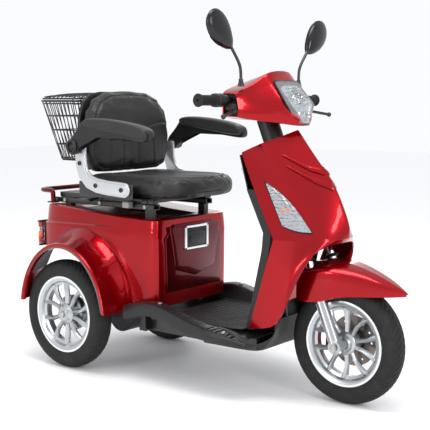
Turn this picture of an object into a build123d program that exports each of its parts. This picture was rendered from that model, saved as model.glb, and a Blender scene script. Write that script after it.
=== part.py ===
"""Three-wheeled seated mobility scooter. Millimetres, +Z up, the front towards -Y, the rider's right towards -X.

Stations are worked out from the rear axle line (y = 0) and moved at the end, so that the origin is on the
floor under the middle of the whole machine.
"""
from build123d import *
from math import cos, radians, sin
import os

# Running gear
wheelbase = 1040
rear_track = 550
tyre_radius = 202
tyre_width = 80
flange_radius = 142          # rim flange, a 10 inch rim
bead_radius = 127
rim_width = 62
axle_radius = 8
fork_rake = 22.5             # degrees
fork_offset = 30             # axle ahead of the steering axis
fork_spacing = 144           # between the two fork legs
stanchion_radius = 14
slider_radius = 19
front_travel = 40
stem_radius = 14
pivot_y, pivot_z = -263, 190  # rear swing frame pivot

# Body
box_front = -375             # front face of the seat box
box_bottom = 257
box_half = 200
body_half = 215
body_rear = 225
body_top_front, body_top_rear = 569, 597
fender_half = 340            # outer lip of the rear fenders
arch_length, arch_height = 225, 275   # half axes of the wheel arch
arch_y = -25
shield_wall = 5
floor_front, floor_rear = -785, -272
floor_half = 270
tread_half, tread_top, tread_front = 205, 232, -690
ledge_top = 230              # floor under the leg shield
frame_low, frame_top = 165, 205   # floor rails
rail_top = 560               # seat rails of the frame
beak_y, beak_z = -1257, 385  # tip of the front fender
rear_reach = 268             # end of the grab rail

# Controls
column_radius = 36
bar_height = 866             # handlebar, measured up the steering axis from the axle's level
bar_radius = 11
grip_radius = 17
bar_half = 336
mirror_x, mirror_y = 166, -722
ball_x, ball_z = 222, 1164   # ball joint of each mirror head
cowl_half = 185
lamp_low, lamp_high = (-872, 930), (-786, 1054)   # foot and head of the lamp's face, in (y, z)

# Seat
seat_half = 215
seat_front, seat_rear = -478, 10
seat_low, seat_high = 645.3, 715
back_top = 1030
arm_pivot_y, arm_pivot_z = -45, 823
rail_x = 148
rail_z = 600
rail_height = 20
post_stations = (-300, 120)  # posts between the frame and the slide rails

# Basket
basket_top, basket_bottom = 990, 760
basket_front, basket_rear = 42, 237
basket_half_top, basket_half_low = 200, 150
wire = 5

# Fits
fit = 0.05                   # radial clearance of a shaft in its bore
gap = 0.3                    # between neighbours that don't touch
sheet = 3                    # moulded panels

frame_shift = (-beak_y - rear_reach) / 2
rake = radians(fork_rake)
up_axis = Vector(0, sin(rake), cos(rake))
axle_y, axle_z = -wheelbase, tyre_radius
steer_origin = Vector(0, axle_y + fork_offset * cos(rake), axle_z - fork_offset * sin(rake))
steer = Plane(origin=steer_origin, x_dir=(1, 0, 0), z_dir=up_axis)   # local y points back, local z up the axis
leg_x = fork_spacing / 2
track_x = rear_track / 2
fender_inner = leg_x + slider_radius + 4
bar_y = steer_origin.Y + bar_height * sin(rake)
bar_z = steer_origin.Z + bar_height * cos(rake)


def side_plate(points, x0, x1):
    """Prism across the machine, from an outline in (y, z)."""
    return Pos(x0, 0, 0) * extrude(Plane.YZ * make_face(Polyline(*points, close=True)), x1 - x0)


def plan_plate(points, z0, z1):
    """Prism up from an outline in (x, y)."""
    return Pos(0, 0, z0) * extrude(make_face(Polyline(*points, close=True)), z1 - z0)


def block(x0, x1, y0, y1, z0, z1):
    return Pos((x0 + x1) / 2, (y0 + y1) / 2, (z0 + z1) / 2) * Box(abs(x1 - x0), abs(y1 - y0), abs(z1 - z0))


def rod(start, end, radius, bore=0):
    """Round bar or tube between two points."""
    line = Vector(*end) - Vector(*start)
    ring = Circle(radius) - Circle(bore) if bore else Circle(radius)
    return extrude(Plane(origin=start, z_dir=line) * ring, line.length)


def bent_rod(points, radii, radius):
    path = FilletPolyline(*points, radius=radii)
    return sweep(Plane(origin=path @ 0, z_dir=path % 0) * Circle(radius), path=path)


def turned(profile, centre):
    """Ring about a line along X through the centre, from an outline in (x, radius)."""
    return Pos(*centre) * revolve(make_face(Polyline(*profile, close=True)), Axis.X)


def both_sides(part):
    return [part, mirror(part, Plane.YZ)]


def on_steering(part):
    return steer.location * part


def section_loft(sections):
    """Straight-sided loft through outlines that are given as lists of points in space."""
    return loft([make_face(Polyline(*points, close=True)) for points in sections], ruled=True)


# Wheels

def rim(outer_side, shaft_bore, hub_half):
    """Cast wheel: dropped-centre rim, hub and five split spokes nearer to the outer side."""
    half = rim_width / 2
    ring = turned(
        [(-half, flange_radius), (-half + 4, flange_radius), (-half + 4, bead_radius), (-14, bead_radius),
         (-10, 116), (10, 116), (14, bead_radius), (half - 4, bead_radius), (half - 4, flange_radius),
         (half, flange_radius), (half, 124), (16, 120), (11, 110), (-11, 110), (-16, 120), (-half, 124)],
        (0, 0, 0))
    hub = turned([(-hub_half, shaft_bore), (-hub_half, 26), (-22, 38), (22, 38), (hub_half, 26),
                  (hub_half, shaft_bore)], (0, 0, 0))
    blade = side_plate([(-8, 30), (8, 30), (11, 70), (8, 114), (-9, 114), (-4, 72)], -22, -4)
    wheel = ring + hub
    for k in range(5):
        for lean, flip in ((9, 1), (-9, -1)):
            one = blade if flip == 1 else mirror(blade, Plane.XZ)
            wheel += Rot(k * 72 + lean * 1.9, 0, 0) * one
    return wheel if outer_side < 0 else mirror(wheel, Plane.YZ)


def tyre(centre):
    half = rim_width / 2 - 4 - gap
    wide = tyre_width / 2
    seat = bead_radius + gap
    return turned(
        [(-half, seat), (-half, 144), (-wide + 2, 156), (-wide, 170), (-wide + 3, 184), (-28, 195), (-12, 201),
         (0, tyre_radius), (12, 201), (28, 195), (wide - 3, 184), (wide, 170), (wide - 2, 156), (half, 144),
         (half, seat), (half - 9, seat), (half - 9, 148), (wide - 10, 160), (wide - 10, 180), (20, 190),
         (-20, 190), (-wide + 10, 180), (-wide + 10, 160), (-half + 9, 148), (-half + 9, seat)],
        centre)


def front_wheel():
    centre = (0, axle_y, axle_z)
    disc = turned([(35, 26.5), (35, 85), (39, 85), (39, 26.5)], centre)
    disc -= [Pos(0, axle_y + 68 * cos(radians(a)), axle_z + 68 * sin(radians(a))) * Rot(0, 90, 0)
             * Cylinder(4, 120) for a in range(0, 360, 30)]
    disc += turned([(35, axle_radius + fit + 4), (35, 27), (39, 27), (39, axle_radius + fit + 4)], centre)
    return {"front_rim": Pos(*centre) * rim(-1, axle_radius + fit, 35), "front_tyre": tyre(centre),
            "brake_disc": disc}


def rear_wheel(side):
    centre = (side * track_x, 0, tyre_radius)
    shaft = turned([(-side * 90, 0), (-side * 90, 12), (side * 30, 12), (side * 30, 9), (side * 40, 9),
                    (side * 40, 0)], centre)
    nut = turned([(side * 30, 9.01), (side * 30, 17), (side * 36, 15), (side * 36, 9.01)], centre)
    drum = turned([(-side * 31, 58), (-side * 31, 66), (-side * 5, 66), (-side * 5, 39), (-side * 9, 39),
                   (-side * 9, 58)], centre)
    wheel = Pos(*centre) * rim(side, 12, 30)
    return Compound([*(wheel + drum).solids(), *shaft.solids(), *nut.solids()]), tyre(centre)


# Fork and steering

def fork_sliders():
    parts = []
    for side in (-1, 1):
        x = side * leg_x
        leg = Pos(x, -fork_offset, -24) * extrude(Circle(slider_radius), 240)
        leg += Pos(x, -fork_offset, 206) * extrude(Circle(slider_radius + 3), 14)
        leg -= Pos(x, -fork_offset, 10) * extrude(Circle(stanchion_radius + fit), 400)
        leg -= Pos(x, -fork_offset, 0) * Rot(0, 90, 0) * Cylinder(axle_radius, 80)
        leg += rod((side * (leg_x + 15), -fork_offset, 180), (side * (fender_inner - gap), -fork_offset, 180), 7)
        parts.append(on_steering(leg))
    plate = side_plate([(axle_y - 12, axle_z + 30), (axle_y + 14, axle_z + 62), (axle_y + 88, axle_z + 4),
                        (axle_y + 88, axle_z - 36), (axle_y - 8, axle_z - 18)],
                       leg_x - slider_radius - 4, leg_x - slider_radius + 1)
    plate -= rod((0, axle_y, axle_z), (90, axle_y, axle_z), 17)
    plate -= on_steering(Pos(leg_x, -fork_offset, 10) * extrude(Circle(stanchion_radius + fit), 400))
    parts[1] += plate
    return Compound([s for p in parts for s in p.solids()])


def front_axle():
    centre = (0, axle_y, axle_z)
    pin = rod((-leg_x - slider_radius - 6, axle_y, axle_z), (leg_x + slider_radius + 6, axle_y, axle_z), axle_radius)
    heads = [turned([(s * (leg_x + 19), 8.01), (s * (leg_x + 19), 13), (s * (leg_x + 25), 13),
                     (s * (leg_x + 25), 8.01)], centre) for s in (-1, 1)]
    spacer = turned([(-leg_x + slider_radius + gap, 8.01), (-leg_x + slider_radius + gap, 15), (-35 - gap, 15),
                     (-35 - gap, 8.01)], centre)
    return Compound([*pin.solids(), *[s for h in heads for s in h.solids()], *spacer.solids()])


def brake_caliper():
    body = side_plate([(axle_y + 58, axle_z + 14), (axle_y + 104, axle_z + 8), (axle_y + 104, axle_z - 44),
                       (axle_y + 56, axle_z - 40)], 29, leg_x - slider_radius - 4 - gap)
    return body - turned([(33, 0.1), (33, 90), (41, 90), (41, 0.1)], (0, axle_y, axle_z))


def front_fender():
    """Beaked shell over the tyre, wide enough at the back to hide the fork legs."""
    def solid(inset, low):
        wide = fender_inner + sheet - inset
        crown = [(beak_y + inset * 3, beak_z - inset), (-1180, 428 - inset), (-1085, 463 - inset),
                 (-1000, 474 - inset), (-903 - inset, 455 - inset)]
        skirt = [(-935 - inset, 337 - low), (-1002, 345 - low), (-1060, 372 - low), (-1213, 376 - low)]
        beak = 42 - inset
        plan = plan_plate([(0, beak_y - 4 + inset * 2), (-beak, -1200), (-wide + 22, -1090), (-wide, -1000),
                           (-wide, -880), (wide, -880), (wide, -1000), (wide - 22, -1090), (beak, -1200)], 0, 600)
        return side_plate(crown + skirt, -200, 200) & plan
    fender = solid(0, 0) - solid(sheet, 300)
    fender -= block(-52, 52, -980, -890, 300, 440)
    for side in (-1, 1):
        fender -= on_steering(Pos(side * leg_x, -fork_offset, 215) * extrude(Circle(stanchion_radius + 3), 100))
    flap = side_plate([(-903 + gap, 455), (-903 + gap, 450), (-853, 400), (-826, 325), (-822, 327), (-849, 403)],
                      -48, 48)
    return Compound([*fender.solids(), *flap.solids()])


def stanchions():
    tubes = [on_steering(Pos(side * leg_x, -fork_offset, 30 + front_travel) * extrude(Circle(stanchion_radius), 434 - front_travel))
             for side in (-1, 1)]
    return Compound([s for t in tubes for s in t.solids()])


def steering_stem():
    half, rear_half = leg_x + 20, 30
    yoke = plan_plate([(-half, -45), (half, -45), (half, -14), (rear_half, 21), (-rear_half, 21),
                       (-half, -14)], 440, 464)
    yoke -= [Pos(side * leg_x, -fork_offset, 400) * extrude(Circle(stanchion_radius), 100) for side in (-1, 1)]
    stem = Pos(0, 0, 464) * extrude(Circle(stem_radius), bar_height - 464 - 20)
    clamp = Pos(0, 0, bar_height) * Box(60, 34, 40) - Pos(0, 0, bar_height) * Rot(0, 90, 0) * Cylinder(bar_radius, 90)
    return on_steering(yoke + stem + clamp)


def handlebar():
    return rod((-bar_half + 6, bar_y, bar_z), (bar_half - 6, bar_y, bar_z), bar_radius)


def grip(side, bore):
    """Ribbed rubber grip with a flange at the end."""
    x0, x1 = side * (bar_half - 84), side * bar_half
    outline = [(x0, bore), (x0, grip_radius + 4), (x0 + side * 5, grip_radius + 4), (x0 + side * 5, grip_radius)]
    outline += [(x1 - side * 6, grip_radius), (x1 - side * 6, grip_radius + 4), (x1, grip_radius + 4)]
    outline += [(x1, 4), (x1 - side * 5, 4), (x1 - side * 5, bore)]
    return turned(outline, (0, bar_y, bar_z))


def switch_pods():
    """Lever perches and switch housings, one of each on each side, clamped on the bar."""
    parts = []
    for side in (-1, 1):
        pod = turned([(side * 216, bar_radius), (side * 216, 22), (side * 250, 22), (side * 250, bar_radius)],
                     (0, bar_y, bar_z))
        perch = turned([(side * 190, bar_radius), (side * 190, 18), (side * 214, 18), (side * 214, bar_radius)],
                       (0, bar_y, bar_z))
        arm = block(side * 192, side * 212, bar_y - 44, bar_y - 10, bar_z - 30, bar_z - 10)
        arm -= rod((0, bar_y, bar_z), (side * 300, bar_y, bar_z), 17)
        pin = rod((side * 202, lever_y, bar_z - 46), (side * 202, lever_y, bar_z - 8), 4)
        parts.append(perch + arm + pin)
        if side > 0:
            pod -= horn_place * Cylinder(6 + fit, 14)
            pod -= switch_place * Box(18, 12, 10)
        parts.append(pod)
    return Compound([s for p in parts for s in p.solids()])


lever_y = bar_y - 38
horn_place = Pos(240, bar_y + 20, bar_z - 6) * Rot(90, 0, 0)
switch_place = Pos(226, bar_y + 20, bar_z + 2)


def brake_lever(side):
    z = bar_z - 36
    eye = Pos(side * 202, lever_y, z) * (Cylinder(10, 9) - Cylinder(4 + fit, 20))
    blade = bent_rod([(210, lever_y - 2, z), (250, lever_y - 20, z - 6), (306, lever_y - 42, z - 15)], 30, 5)
    blade += Pos(306, lever_y - 42, z - 15) * Sphere(8)
    lever = eye + (blade if side > 0 else mirror(blade, Plane.YZ))
    return lever - Pos(side * 202, lever_y, z) * Cylinder(4 + fit, 20)


def head_cowl():
    """Wedge shaped headlamp cowl, hollow, with the bar coming out through both ends."""
    def solid(inset):
        middle = [(-650 - inset, 925 + inset), (-862 + inset, 906 + inset), (lamp_low[0] + inset, lamp_low[1]),
                  (lamp_high[0] + inset, lamp_high[1] - inset), (-755 + inset, 1088 - inset),
                  (-650 - inset, 1050 - inset)]
        end = [(-655 - inset, 934 + inset), (-700, 930 + inset), (-738 + inset, 942 + inset),
               (-744 + inset, 1000), (-736 + inset, 1030 - inset), (-655 - inset, 1024 - inset)]
        stations = ((-cowl_half + inset, end), (-64, middle), (64, middle), (cowl_half - inset, end))
        return section_loft([[(x, y, z) for y, z in points] for x, points in stations])
    cowl = solid(0) - solid(sheet)
    cowl -= rod((-300, bar_y, bar_z), (300, bar_y, bar_z), 26)
    cowl -= on_steering(Pos(0, 0, 600) * extrude(Circle(column_radius + gap), 230))
    cowl -= lamp(-12, 40)
    for side in (-1, 1):
        cowl -= Pos(side * mirror_x, mirror_y, 1044) * Cylinder(11 + gap, 60)
    return cowl


def lamp(start, depth):
    """Five sided lamp outline on the sloping front of the cowl."""
    slope = Vector(0, lamp_high[0] - lamp_low[0], lamp_high[1] - lamp_low[1])
    face = Plane(origin=(0, *lamp_low), x_dir=(1, 0, 0), z_dir=slope.cross(Vector(-1, 0, 0)))
    length = slope.length
    outline = [(-38, 2), (38, 2), (76, length * 0.45), (66, length - 4), (-66, length - 4), (-76, length * 0.45)]
    up = 1 if face.y_dir.Z > 0 else -1
    flat = make_face(Polyline(*[(x, up * y) for x, y in outline], close=True))
    return face.offset(start) * extrude(flat, depth)


def column_cover():
    tube = Pos(0, 0, 690) * extrude(Circle(column_radius) - Circle(stem_radius + 4), 110)
    tube += Pos(0, 0, 794) * extrude(Circle(column_radius) - Circle(stem_radius), 6)
    return on_steering(tube)


def mirror_stalk(side):
    base = Pos(side * mirror_x, mirror_y, 1044) * Cylinder(11, 18)
    arm = bent_rod([(side * mirror_x, mirror_y, 1050), (side * 172, mirror_y, 1105),
                    (side * ball_x, mirror_y, ball_z)], 30, 5)
    return base + arm + Pos(side * ball_x, mirror_y, ball_z) * Sphere(7)


def mirror_head(side):
    tilt = 45
    long_way = (side * cos(radians(tilt)), 0, sin(radians(tilt)))
    plate = Plane(origin=(side * (ball_x + 50), mirror_y, ball_z + 46), x_dir=long_way, z_dir=(0, 1, 0))
    head = plate.offset(-18) * extrude(Ellipse(78, 50), 34, taper=8)
    ball = (side * ball_x, mirror_y, ball_z)
    return head - Pos(*ball) * Sphere(7 + fit) - rod(ball, (side * (ball_x - 40), mirror_y, ball_z - 48), 9)


# Chassis

def frame_tubes():
    """Box section frame: floor rails, cross members, uprights, seat rails and the ears of the rear pivot."""
    rear, upright_top = -285, rail_top - 30
    tubes = [block(-195, 195, rear - 30, rear, frame_low, frame_top), block(-165, 165, -790, -760, frame_low, frame_top),
             block(-165, 165, rear - 30, rear, upright_top, rail_top), block(-165, 165, -10, 20, upright_top, rail_top),
             block(-165, 165, 160, 190, upright_top, rail_top)]
    for side in (-1, 1):
        x0, x1 = side * 165, side * 195
        tubes += [block(side * 135, side * 165, -760, rear - 30, frame_low, frame_top),
                  block(x0, x1, rear - 30, rear, frame_top, upright_top),
                  block(x0, x1, rear - 30, 190, upright_top, rail_top),
                  block(x0, x1, rear, -80, 300, 330),
                  block(x0, x1, -110, -80, 330, upright_top)]
        for y in post_stations:
            tubes.append(block(side * (rail_x - 12), side * (rail_x + 12), y - 15, y + 15, rail_top, rail_z))
        for x in (113, 149):
            ear = side_plate([(rear, 172), (pivot_y + 14, 172), (pivot_y + 14, 208), (rear, 208)],
                             side * x - 3, side * x + 3)
            tubes.append(ear)
        pin = rod((side * 106, pivot_y, pivot_z), (side * 156, pivot_y, pivot_z), 8)
        tubes[-1] += pin
        tubes[-1] += tubes.pop(-2)
    tubes.append(block(-165, 165, rear, -80, 300, 304))
    return Compound([s for t in tubes for s in t.solids()])


def head_tube():
    tube = on_steering(Pos(0, 0, 470) * extrude(Circle(25), 210))
    down = rod((0, -775, frame_top + 1), (0, -786, 640), 18)
    bore = on_steering(Pos(0, 0, 400) * extrude(Circle(stem_radius + fit), 400))
    return (tube + down) - bore


floor_top = [(floor_front, 199), (-563, 249), (-430, 285), (-389, 291), (floor_rear, 268)]


def floor_pan():
    """Moulded footboard: a flat tread between two raised shoulders."""
    half = floor_half
    outline = floor_top + [(floor_rear, 214), (-330, 198), (-740, 184), (floor_front, 184)]
    pan = block(-tread_half, tread_half, -760, box_front - gap, frame_top + gap, ledge_top)
    pan += block(-tread_half, tread_half, tread_front, box_front - gap, ledge_top, tread_top)
    for side in (-1, 1):
        shoulder = side_plate(outline, side * tread_half, side * half)
        shoulder -= plan_plate([(side * half, -700), (side * (half - 50), floor_front - 1),
                                (side * half, floor_front - 1)], 100, 400)
        pan += shoulder
    pan -= rod((0, -775, 150), (0, -775, 300), 20)
    return pan - plan_plate([(-body_half - 1, box_front), (body_half + 1, box_front), (body_half + 1, 0),
                             (-body_half - 1, 0)], 240, 400)


def belly_cover():
    """Underbody cover round the front of the floor rails."""
    tray = block(-171, 171, -812, -560, 150, frame_top) - block(-168, 168, -808, -500, 154, 300)
    return tray + block(-150, 150, -812, -808, frame_top, 232)


def rear_body():
    """Hollow seat box and rear deck, open below, with the doorway in its front face."""
    def solid(inset, low):
        points = [(box_front + inset, box_bottom - low), (box_front + inset, body_top_front - inset),
                  (190, body_top_rear - inset), (body_rear - inset, 560), (body_rear - inset, 432 - low),
                  (-230 + 2 * inset, 432 - low),
                  (-230 + 2 * inset, box_bottom - low)]
        plan = plan_plate([(-box_half + inset, -500), (-box_half + inset, -300), (-body_half + inset, -240),
                           (-body_half + inset, 150), (-150 + inset, 400), (150 - inset, 400),
                           (body_half - inset, 150), (body_half - inset, -240), (box_half - inset, -300),
                           (box_half - inset, -500)], 0, 700)
        return side_plate(points, -body_half, body_half) & plan
    shell = solid(0, 0) - solid(sheet, 60)
    shell -= block(-door_half - 2, door_half + 2, -420, -340, door_low - 2, door_high + 2)
    for side in (-1, 1):
        for y in post_stations:
            shell -= block(side * (rail_x - 12 - gap), side * (rail_x + 12 + gap), y - 15 - gap, y + 15 + gap,
                           540, 610)
    return shell


door_half, door_low, door_high = 145, 300, 540
hinge_y, hinge_z = box_front + 1, door_low + 4
wide_bore = door_half + 5


def storage_tub():
    """Tray behind the door, for a charger, and the door's hinge pin."""
    front = box_front + sheet + gap
    wide = door_half + 1.5
    tub = block(-wide - 3, wide + 3, front, -318, door_low - 4, door_high + 4)
    tub -= block(-wide, wide, front - 9, -321, door_low - 1, door_high + 1)
    pin = rod((-wide, hinge_y, hinge_z), (wide, hinge_y, hinge_z), 2.5)
    ears = [block(side * (door_half + gap), side * (wide + 0.2), hinge_y - 5, hinge_y + 5, hinge_z - 5, hinge_z + 5)
            for side in (-1, 1)]
    return tub + ears + pin


def box_door():
    face = box_front - 1
    window = block(-52, 52, face - 20, face + 4, 466, 526)
    door = block(-door_half, door_half, face, face + 4, hinge_z, door_high) - window
    door += block(-64, 64, face - 4, face, 454, 538) - window
    door += block(-54, 54, face + 4, face + 7, 464, 528)
    for x in (-130, 70):
        door += rod((x, hinge_y, hinge_z), (x + 60, hinge_y, hinge_z), 5)
    return door - rod((-wide_bore, hinge_y, hinge_z), (wide_bore, hinge_y, hinge_z), 2.5 + fit)


def latch_paddle():
    face = box_front - 3
    return block(-46, 46, face, face + 4, 472, 519) + rod((-52 + gap, face + 2, 521), (52 - gap, face + 2, 521), 2.5)


def rear_fender(side):
    """Flared shell round the wheel, from the body's side to the outer lip."""
    x0, x1 = side * (body_half + gap), side * fender_half
    def bulk(inset, reach):
        face = Plane.YZ * (Pos(arch_y, tyre_radius) * Ellipse(arch_length + 20 - inset, arch_height + 12 - inset))
        return Pos(min(x0, reach), 0, 0) * extrude(face, abs(reach - x0))
    shell = bulk(0, x1) - bulk(sheet, x1)
    lip = bulk(0, x1) - bulk(20, x1)
    lip = lip & block(x1 - side * 4, x1, -400, 400, 0, 800)
    inner = bulk(sheet, x0 + side * 3) - bulk(70, x0 + side * 3)
    shell = shell + lip + inner
    return shell & block(x0, x1, -400, 400, 238, 800)


def tail_lights():
    face = body_rear + gap
    lamp_body = plan_plate([(-194, face), (-203, face + 10), (-182, face + 30), (-120, face + 30), (-120, face)],
                           440, 516)
    return Compound([s for p in both_sides(lamp_body) for s in p.solids()])


def front_shield():
    """V-shaped front shell with two leg panels that come down to the floor."""
    rows = ((900, 165, -696, 96, -742, -832), (785, 174, -746, 98, -809, -925), (742, 176, -767, 96, -845, -968),
            (625, 180, -825, 90, -941, -1027), (581, 180, -846, 84, -977, -1043), (539, 180, -867, 80, -1011, -1037))
    sections = []
    for z, w, y_rear, w_crease, y_crease, y_nose in rows:
        outer = [(-w, y_rear, z), (-w_crease, y_crease, z), (0, y_nose, z), (w_crease, y_crease, z), (w, y_rear, z)]
        t = shield_wall
        inner = [(w - t, y_rear + 1, z), (w_crease - t, y_crease + t, z), (0, y_nose + t * 1.6, z),
                 (-w_crease + t, y_crease + t, z), (-w + t, y_rear + 1, z)]
        sections.append(outer + inner)
    shell = section_loft(sections)
    shell -= side_plate([(-600, 735), (-1000, 1003), (-600, 1003)], -300, 300)
    for side in (-1, 1):
        strips = []
        for z, xr, yr, xf, yf in ((541, 180, -866, 106, -972), (467, 176, -835, 150, -956),
                                  (359, 168, -795, 161, -914), (240, 160, -752, 160, -868)):
            t = shield_wall
            strips.append([(side * xr, yr, z), (side * xf, yf, z), (side * (xf - t), yf + 3, z),
                           (side * (xr - t), yr + 1, z)])
        shell += section_loft(strips)
    for side in (-1, 1):
        shell -= indicator(side, -20, 60)
    return shell


def indicator(side, start, depth):
    """Long lens let into the side of the shield."""
    top, low, back = Vector(side * 140, -806, 724), Vector(side * 98, -954, 564), Vector(side * 148, -880, 590)
    normal = (low - top).cross(back - top).normalized() * side
    if normal.Y > 0:
        normal = normal * -1
    face = make_face(Polyline(top, low, back, close=True))
    return extrude(Pos(*(normal * start)) * face, depth, dir=normal)


def leg_shield():
    """Inner cover behind the shield: panel, bulge over the down tube, column flange and ignition barrel."""
    foot = ledge_top + gap
    line = [(-706, 812), (-738, 700), (-806, 560), (-800, 500), (-738, foot)]
    back = [(y - 4, z) for y, z in reversed(line)]
    cover = side_plate(line + back, -152, 152) - block(-42, 42, -900, -600, 230, 690)
    ridge = [(-738, 700), (-750, 560), (-746, 500), (-700, foot)]
    bulge = side_plate(ridge + line[:1:-1], -46, 46)
    bulge -= side_plate([(y - 4, z) for y, z in ridge] + [(y - 9, z) for y, z in line[:1:-1]], -42, 42)
    cover += bulge
    for side in (-1, 1):
        cover += side_plate(line[1:] + [(y - 30, z) for y, z in reversed(line[1:])], side * 150, side * (155 - gap))
    flange = side_plate([(-706, 812), (-706, 806), (-812, 862), (-812, 868)], -88, 88)
    cover += flange & plan_plate([(-88, -700), (88, -700), (76, -736), (14, -806), (-14, -806), (-76, -736)], 700, 900)
    cover -= on_steering(Pos(0, 0, 600) * extrude(Circle(42), 300))
    cover -= on_steering(Pos(0, 0, 400) * extrude(Circle(28), 300))
    barrel = rod((-90, -733, 740), (-90, -700, 750), 12)
    barrel -= rod((-90, -720, 744), (-90, -690, 753), 4 + fit)
    return cover + barrel


def ignition_key():
    shaft = rod((-90, -715, 745.5), (-90, -688, 753.6), 4)
    bow = Pos(-90, -680, 756) * Rot(-17, 0, 0) * Box(3, 22, 24)
    return shaft + bow


def battery_pack():
    return block(-155, 155, -280, -105, 304 + gap, 500)


def motor_controller():
    case = block(-75, 75, -65, 65, 490, rail_top - 30 - gap)
    return case


def grab_rail():
    arm = block(168, 190, 172, rear_reach, 632, 654)
    leg = block(168, 190, 172, 194, body_top_rear + gap, 632)
    bar = block(-190, 190, rear_reach - 20, rear_reach, 632, 654)
    rail = bar
    for part in (arm, leg):
        for one in both_sides(part):
            rail += one
    return rail


# Rear swing frame

def rear_axle_unit():
    housing = turned([(-181, 12 + fit), (-181, 30), (-70, 34), (-62, 70), (-40, 84), (40, 84), (62, 70), (70, 34),
                      (181, 30), (181, 12 + fit)], (0, 0, tyre_radius))
    motor = rod((-95, -92, 175), (80, -92, 175), 62)
    unit = housing + motor
    for side in (-1, 1):
        arm = side_plate([(pivot_y, pivot_z - 15), (pivot_y, pivot_z + 15), (-10, 214), (-10, 180)],
                         side * 119, side * 143)
        arm += rod((side * 118, pivot_y, pivot_z), (side * 144, pivot_y, pivot_z), 18)
        arm -= rod((side * 100, pivot_y, pivot_z), (side * 160, pivot_y, pivot_z), 8 + fit)
        unit += arm - rod((-200, 0, tyre_radius), (200, 0, tyre_radius), 12 + fit)
        unit += block(side * 96, side * 116, 14, 50, 205, 262)
        plate = turned([(side * 181, 12 + fit), (side * 181, 56), (side * 188, 56), (side * 188, 64),
                        (side * 191, 64), (side * 191, 12 + fit)], (0, 0, tyre_radius))
        plate = Pos(side * (track_x - 31 - gap * 3 - 191), 0, 0) * plate
        neck = turned([(side * 181, 12 + fit), (side * 181, 30), (side * (track_x - 42), 30),
                       (side * (track_x - 42), 12 + fit)], (0, 0, tyre_radius))
        unit += plate + neck
    bore = rod((-260, 0, tyre_radius), (260, 0, tyre_radius), 12 + fit)
    unit -= bore - block(-90, 90, -50, 50, 150, 250)
    dampers = [rod((side * 106, 32, 262), (side * 106, 19, 410), 6) for side in (-1, 1)]
    return Compound([*unit.solids(), *[s for d in dampers for s in d.solids()]])


def shock_uppers():
    parts = []
    for side in (-1, 1):
        case = rod((side * 106, 12, 470), (side * 106, 22, 370), 26) - rod((side * 106, 13, 460),
                                                                          (side * 106, 23, 360), 22.5)
        parts.append(case + block(side * 96, side * 116, 0, 20, 468, rail_top - 30))
    return Compound([s for p in parts for s in p.solids()])


def shock_springs():
    """One coil in each shock, from the lower block to the casing."""
    coils = []
    for side in (-1, 1):
        start, end = Vector(side * 106, 32, 262), Vector(side * 106, 22.5, 366)
        turns = end - start
        path = Helix(pitch=16, height=turns.length - 8, radius=15)
        coil = sweep(Plane(origin=path @ 0, z_dir=path % 0) * Circle(2.5), path=path, is_frenet=True)
        coils.append(Plane(origin=start + turns.normalized() * 1.4, z_dir=turns).location * coil)
    return Compound([s for c in coils for s in c.solids()])


# Seat

def slide_rails():
    rails = []
    for side in (-1, 1):
        rails.append(block(side * (rail_x - 18), side * (rail_x + 18), -330, 187, rail_z, rail_z + rail_height))
    return Compound([s for r in rails for s in r.solids()])


def seat_base():
    """Sliding rails, seat pan and the side flanges that carry the arm brackets."""
    low = rail_z + rail_height + gap
    base = block(-236, 236, -330, -20, 640, 645)
    for side in (-1, 1):
        base += block(side * (rail_x - 18), side * (rail_x + 18), -330, 165, low, 640)
        base += block(side * 231, side * 236, -300, -90, 645, 696)
    base += block(-120, 120, -20, 165, 634, 640) + block(-130, 130, -40, 165, 634, 640)
    return base


def slide_lever():
    z = rail_z + rail_height + 22
    pin_x = rail_x + 18
    bar = block(-pin_x - 44, -pin_x - 0.9, -52, -38, z - 18, z - 12)
    paddle = block(-pin_x - 62, -pin_x - 30, -64, -6, z - 22, z - 15)
    return bar + paddle


def seat_cushion():
    half = seat_half
    outline = [(-half + 60, seat_front), (half - 60, seat_front), (half - 12, seat_front + 60),
               (half, seat_front + 160), (half, seat_rear - 60), (half - 40, seat_rear), (-half + 40, seat_rear),
               (-half, seat_rear - 60), (-half, seat_front + 160), (-half + 12, seat_front + 60)]
    return plan_plate(outline, seat_low, seat_high)


def backrest_outline(grow):
    half = seat_half - 8 + grow
    return [(-half + 14, 722), (half - 14, 722), (half, 800), (half, 900), (half - 30, 985 + grow),
            (half - 90, back_top + grow), (-half + 90, back_top + grow), (-half + 30, 985 + grow), (-half, 900),
            (-half, 800)]


def backrest_shell():
    """Moulded back, with the two lugs that the arm brackets bolt to and the rails that hold the basket."""
    face = make_face(Polyline(*[(x, z) for x, z in backrest_outline(-4)], close=True))
    shell = Pos(0, 22, 0) * extrude(Plane.XZ * face, 12)
    for side in (-1, 1):
        shell += block(side * 180, side * 236, -30, 22, 786, 840)
        shell += block(side * 84, side * 96, 22, basket_front - gap, 770, 960)
    return shell


def back_cushion():
    face = make_face(Polyline(*[(x, z) for x, z in backrest_outline(0)], close=True))
    cushion = Pos(0, 9.7, 0) * extrude(Plane.XZ * face, 74)
    for side in (-1, 1):
        cushion -= block(side * 178, side * 260, -34, 40, 782, 844)
    return cushion


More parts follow.
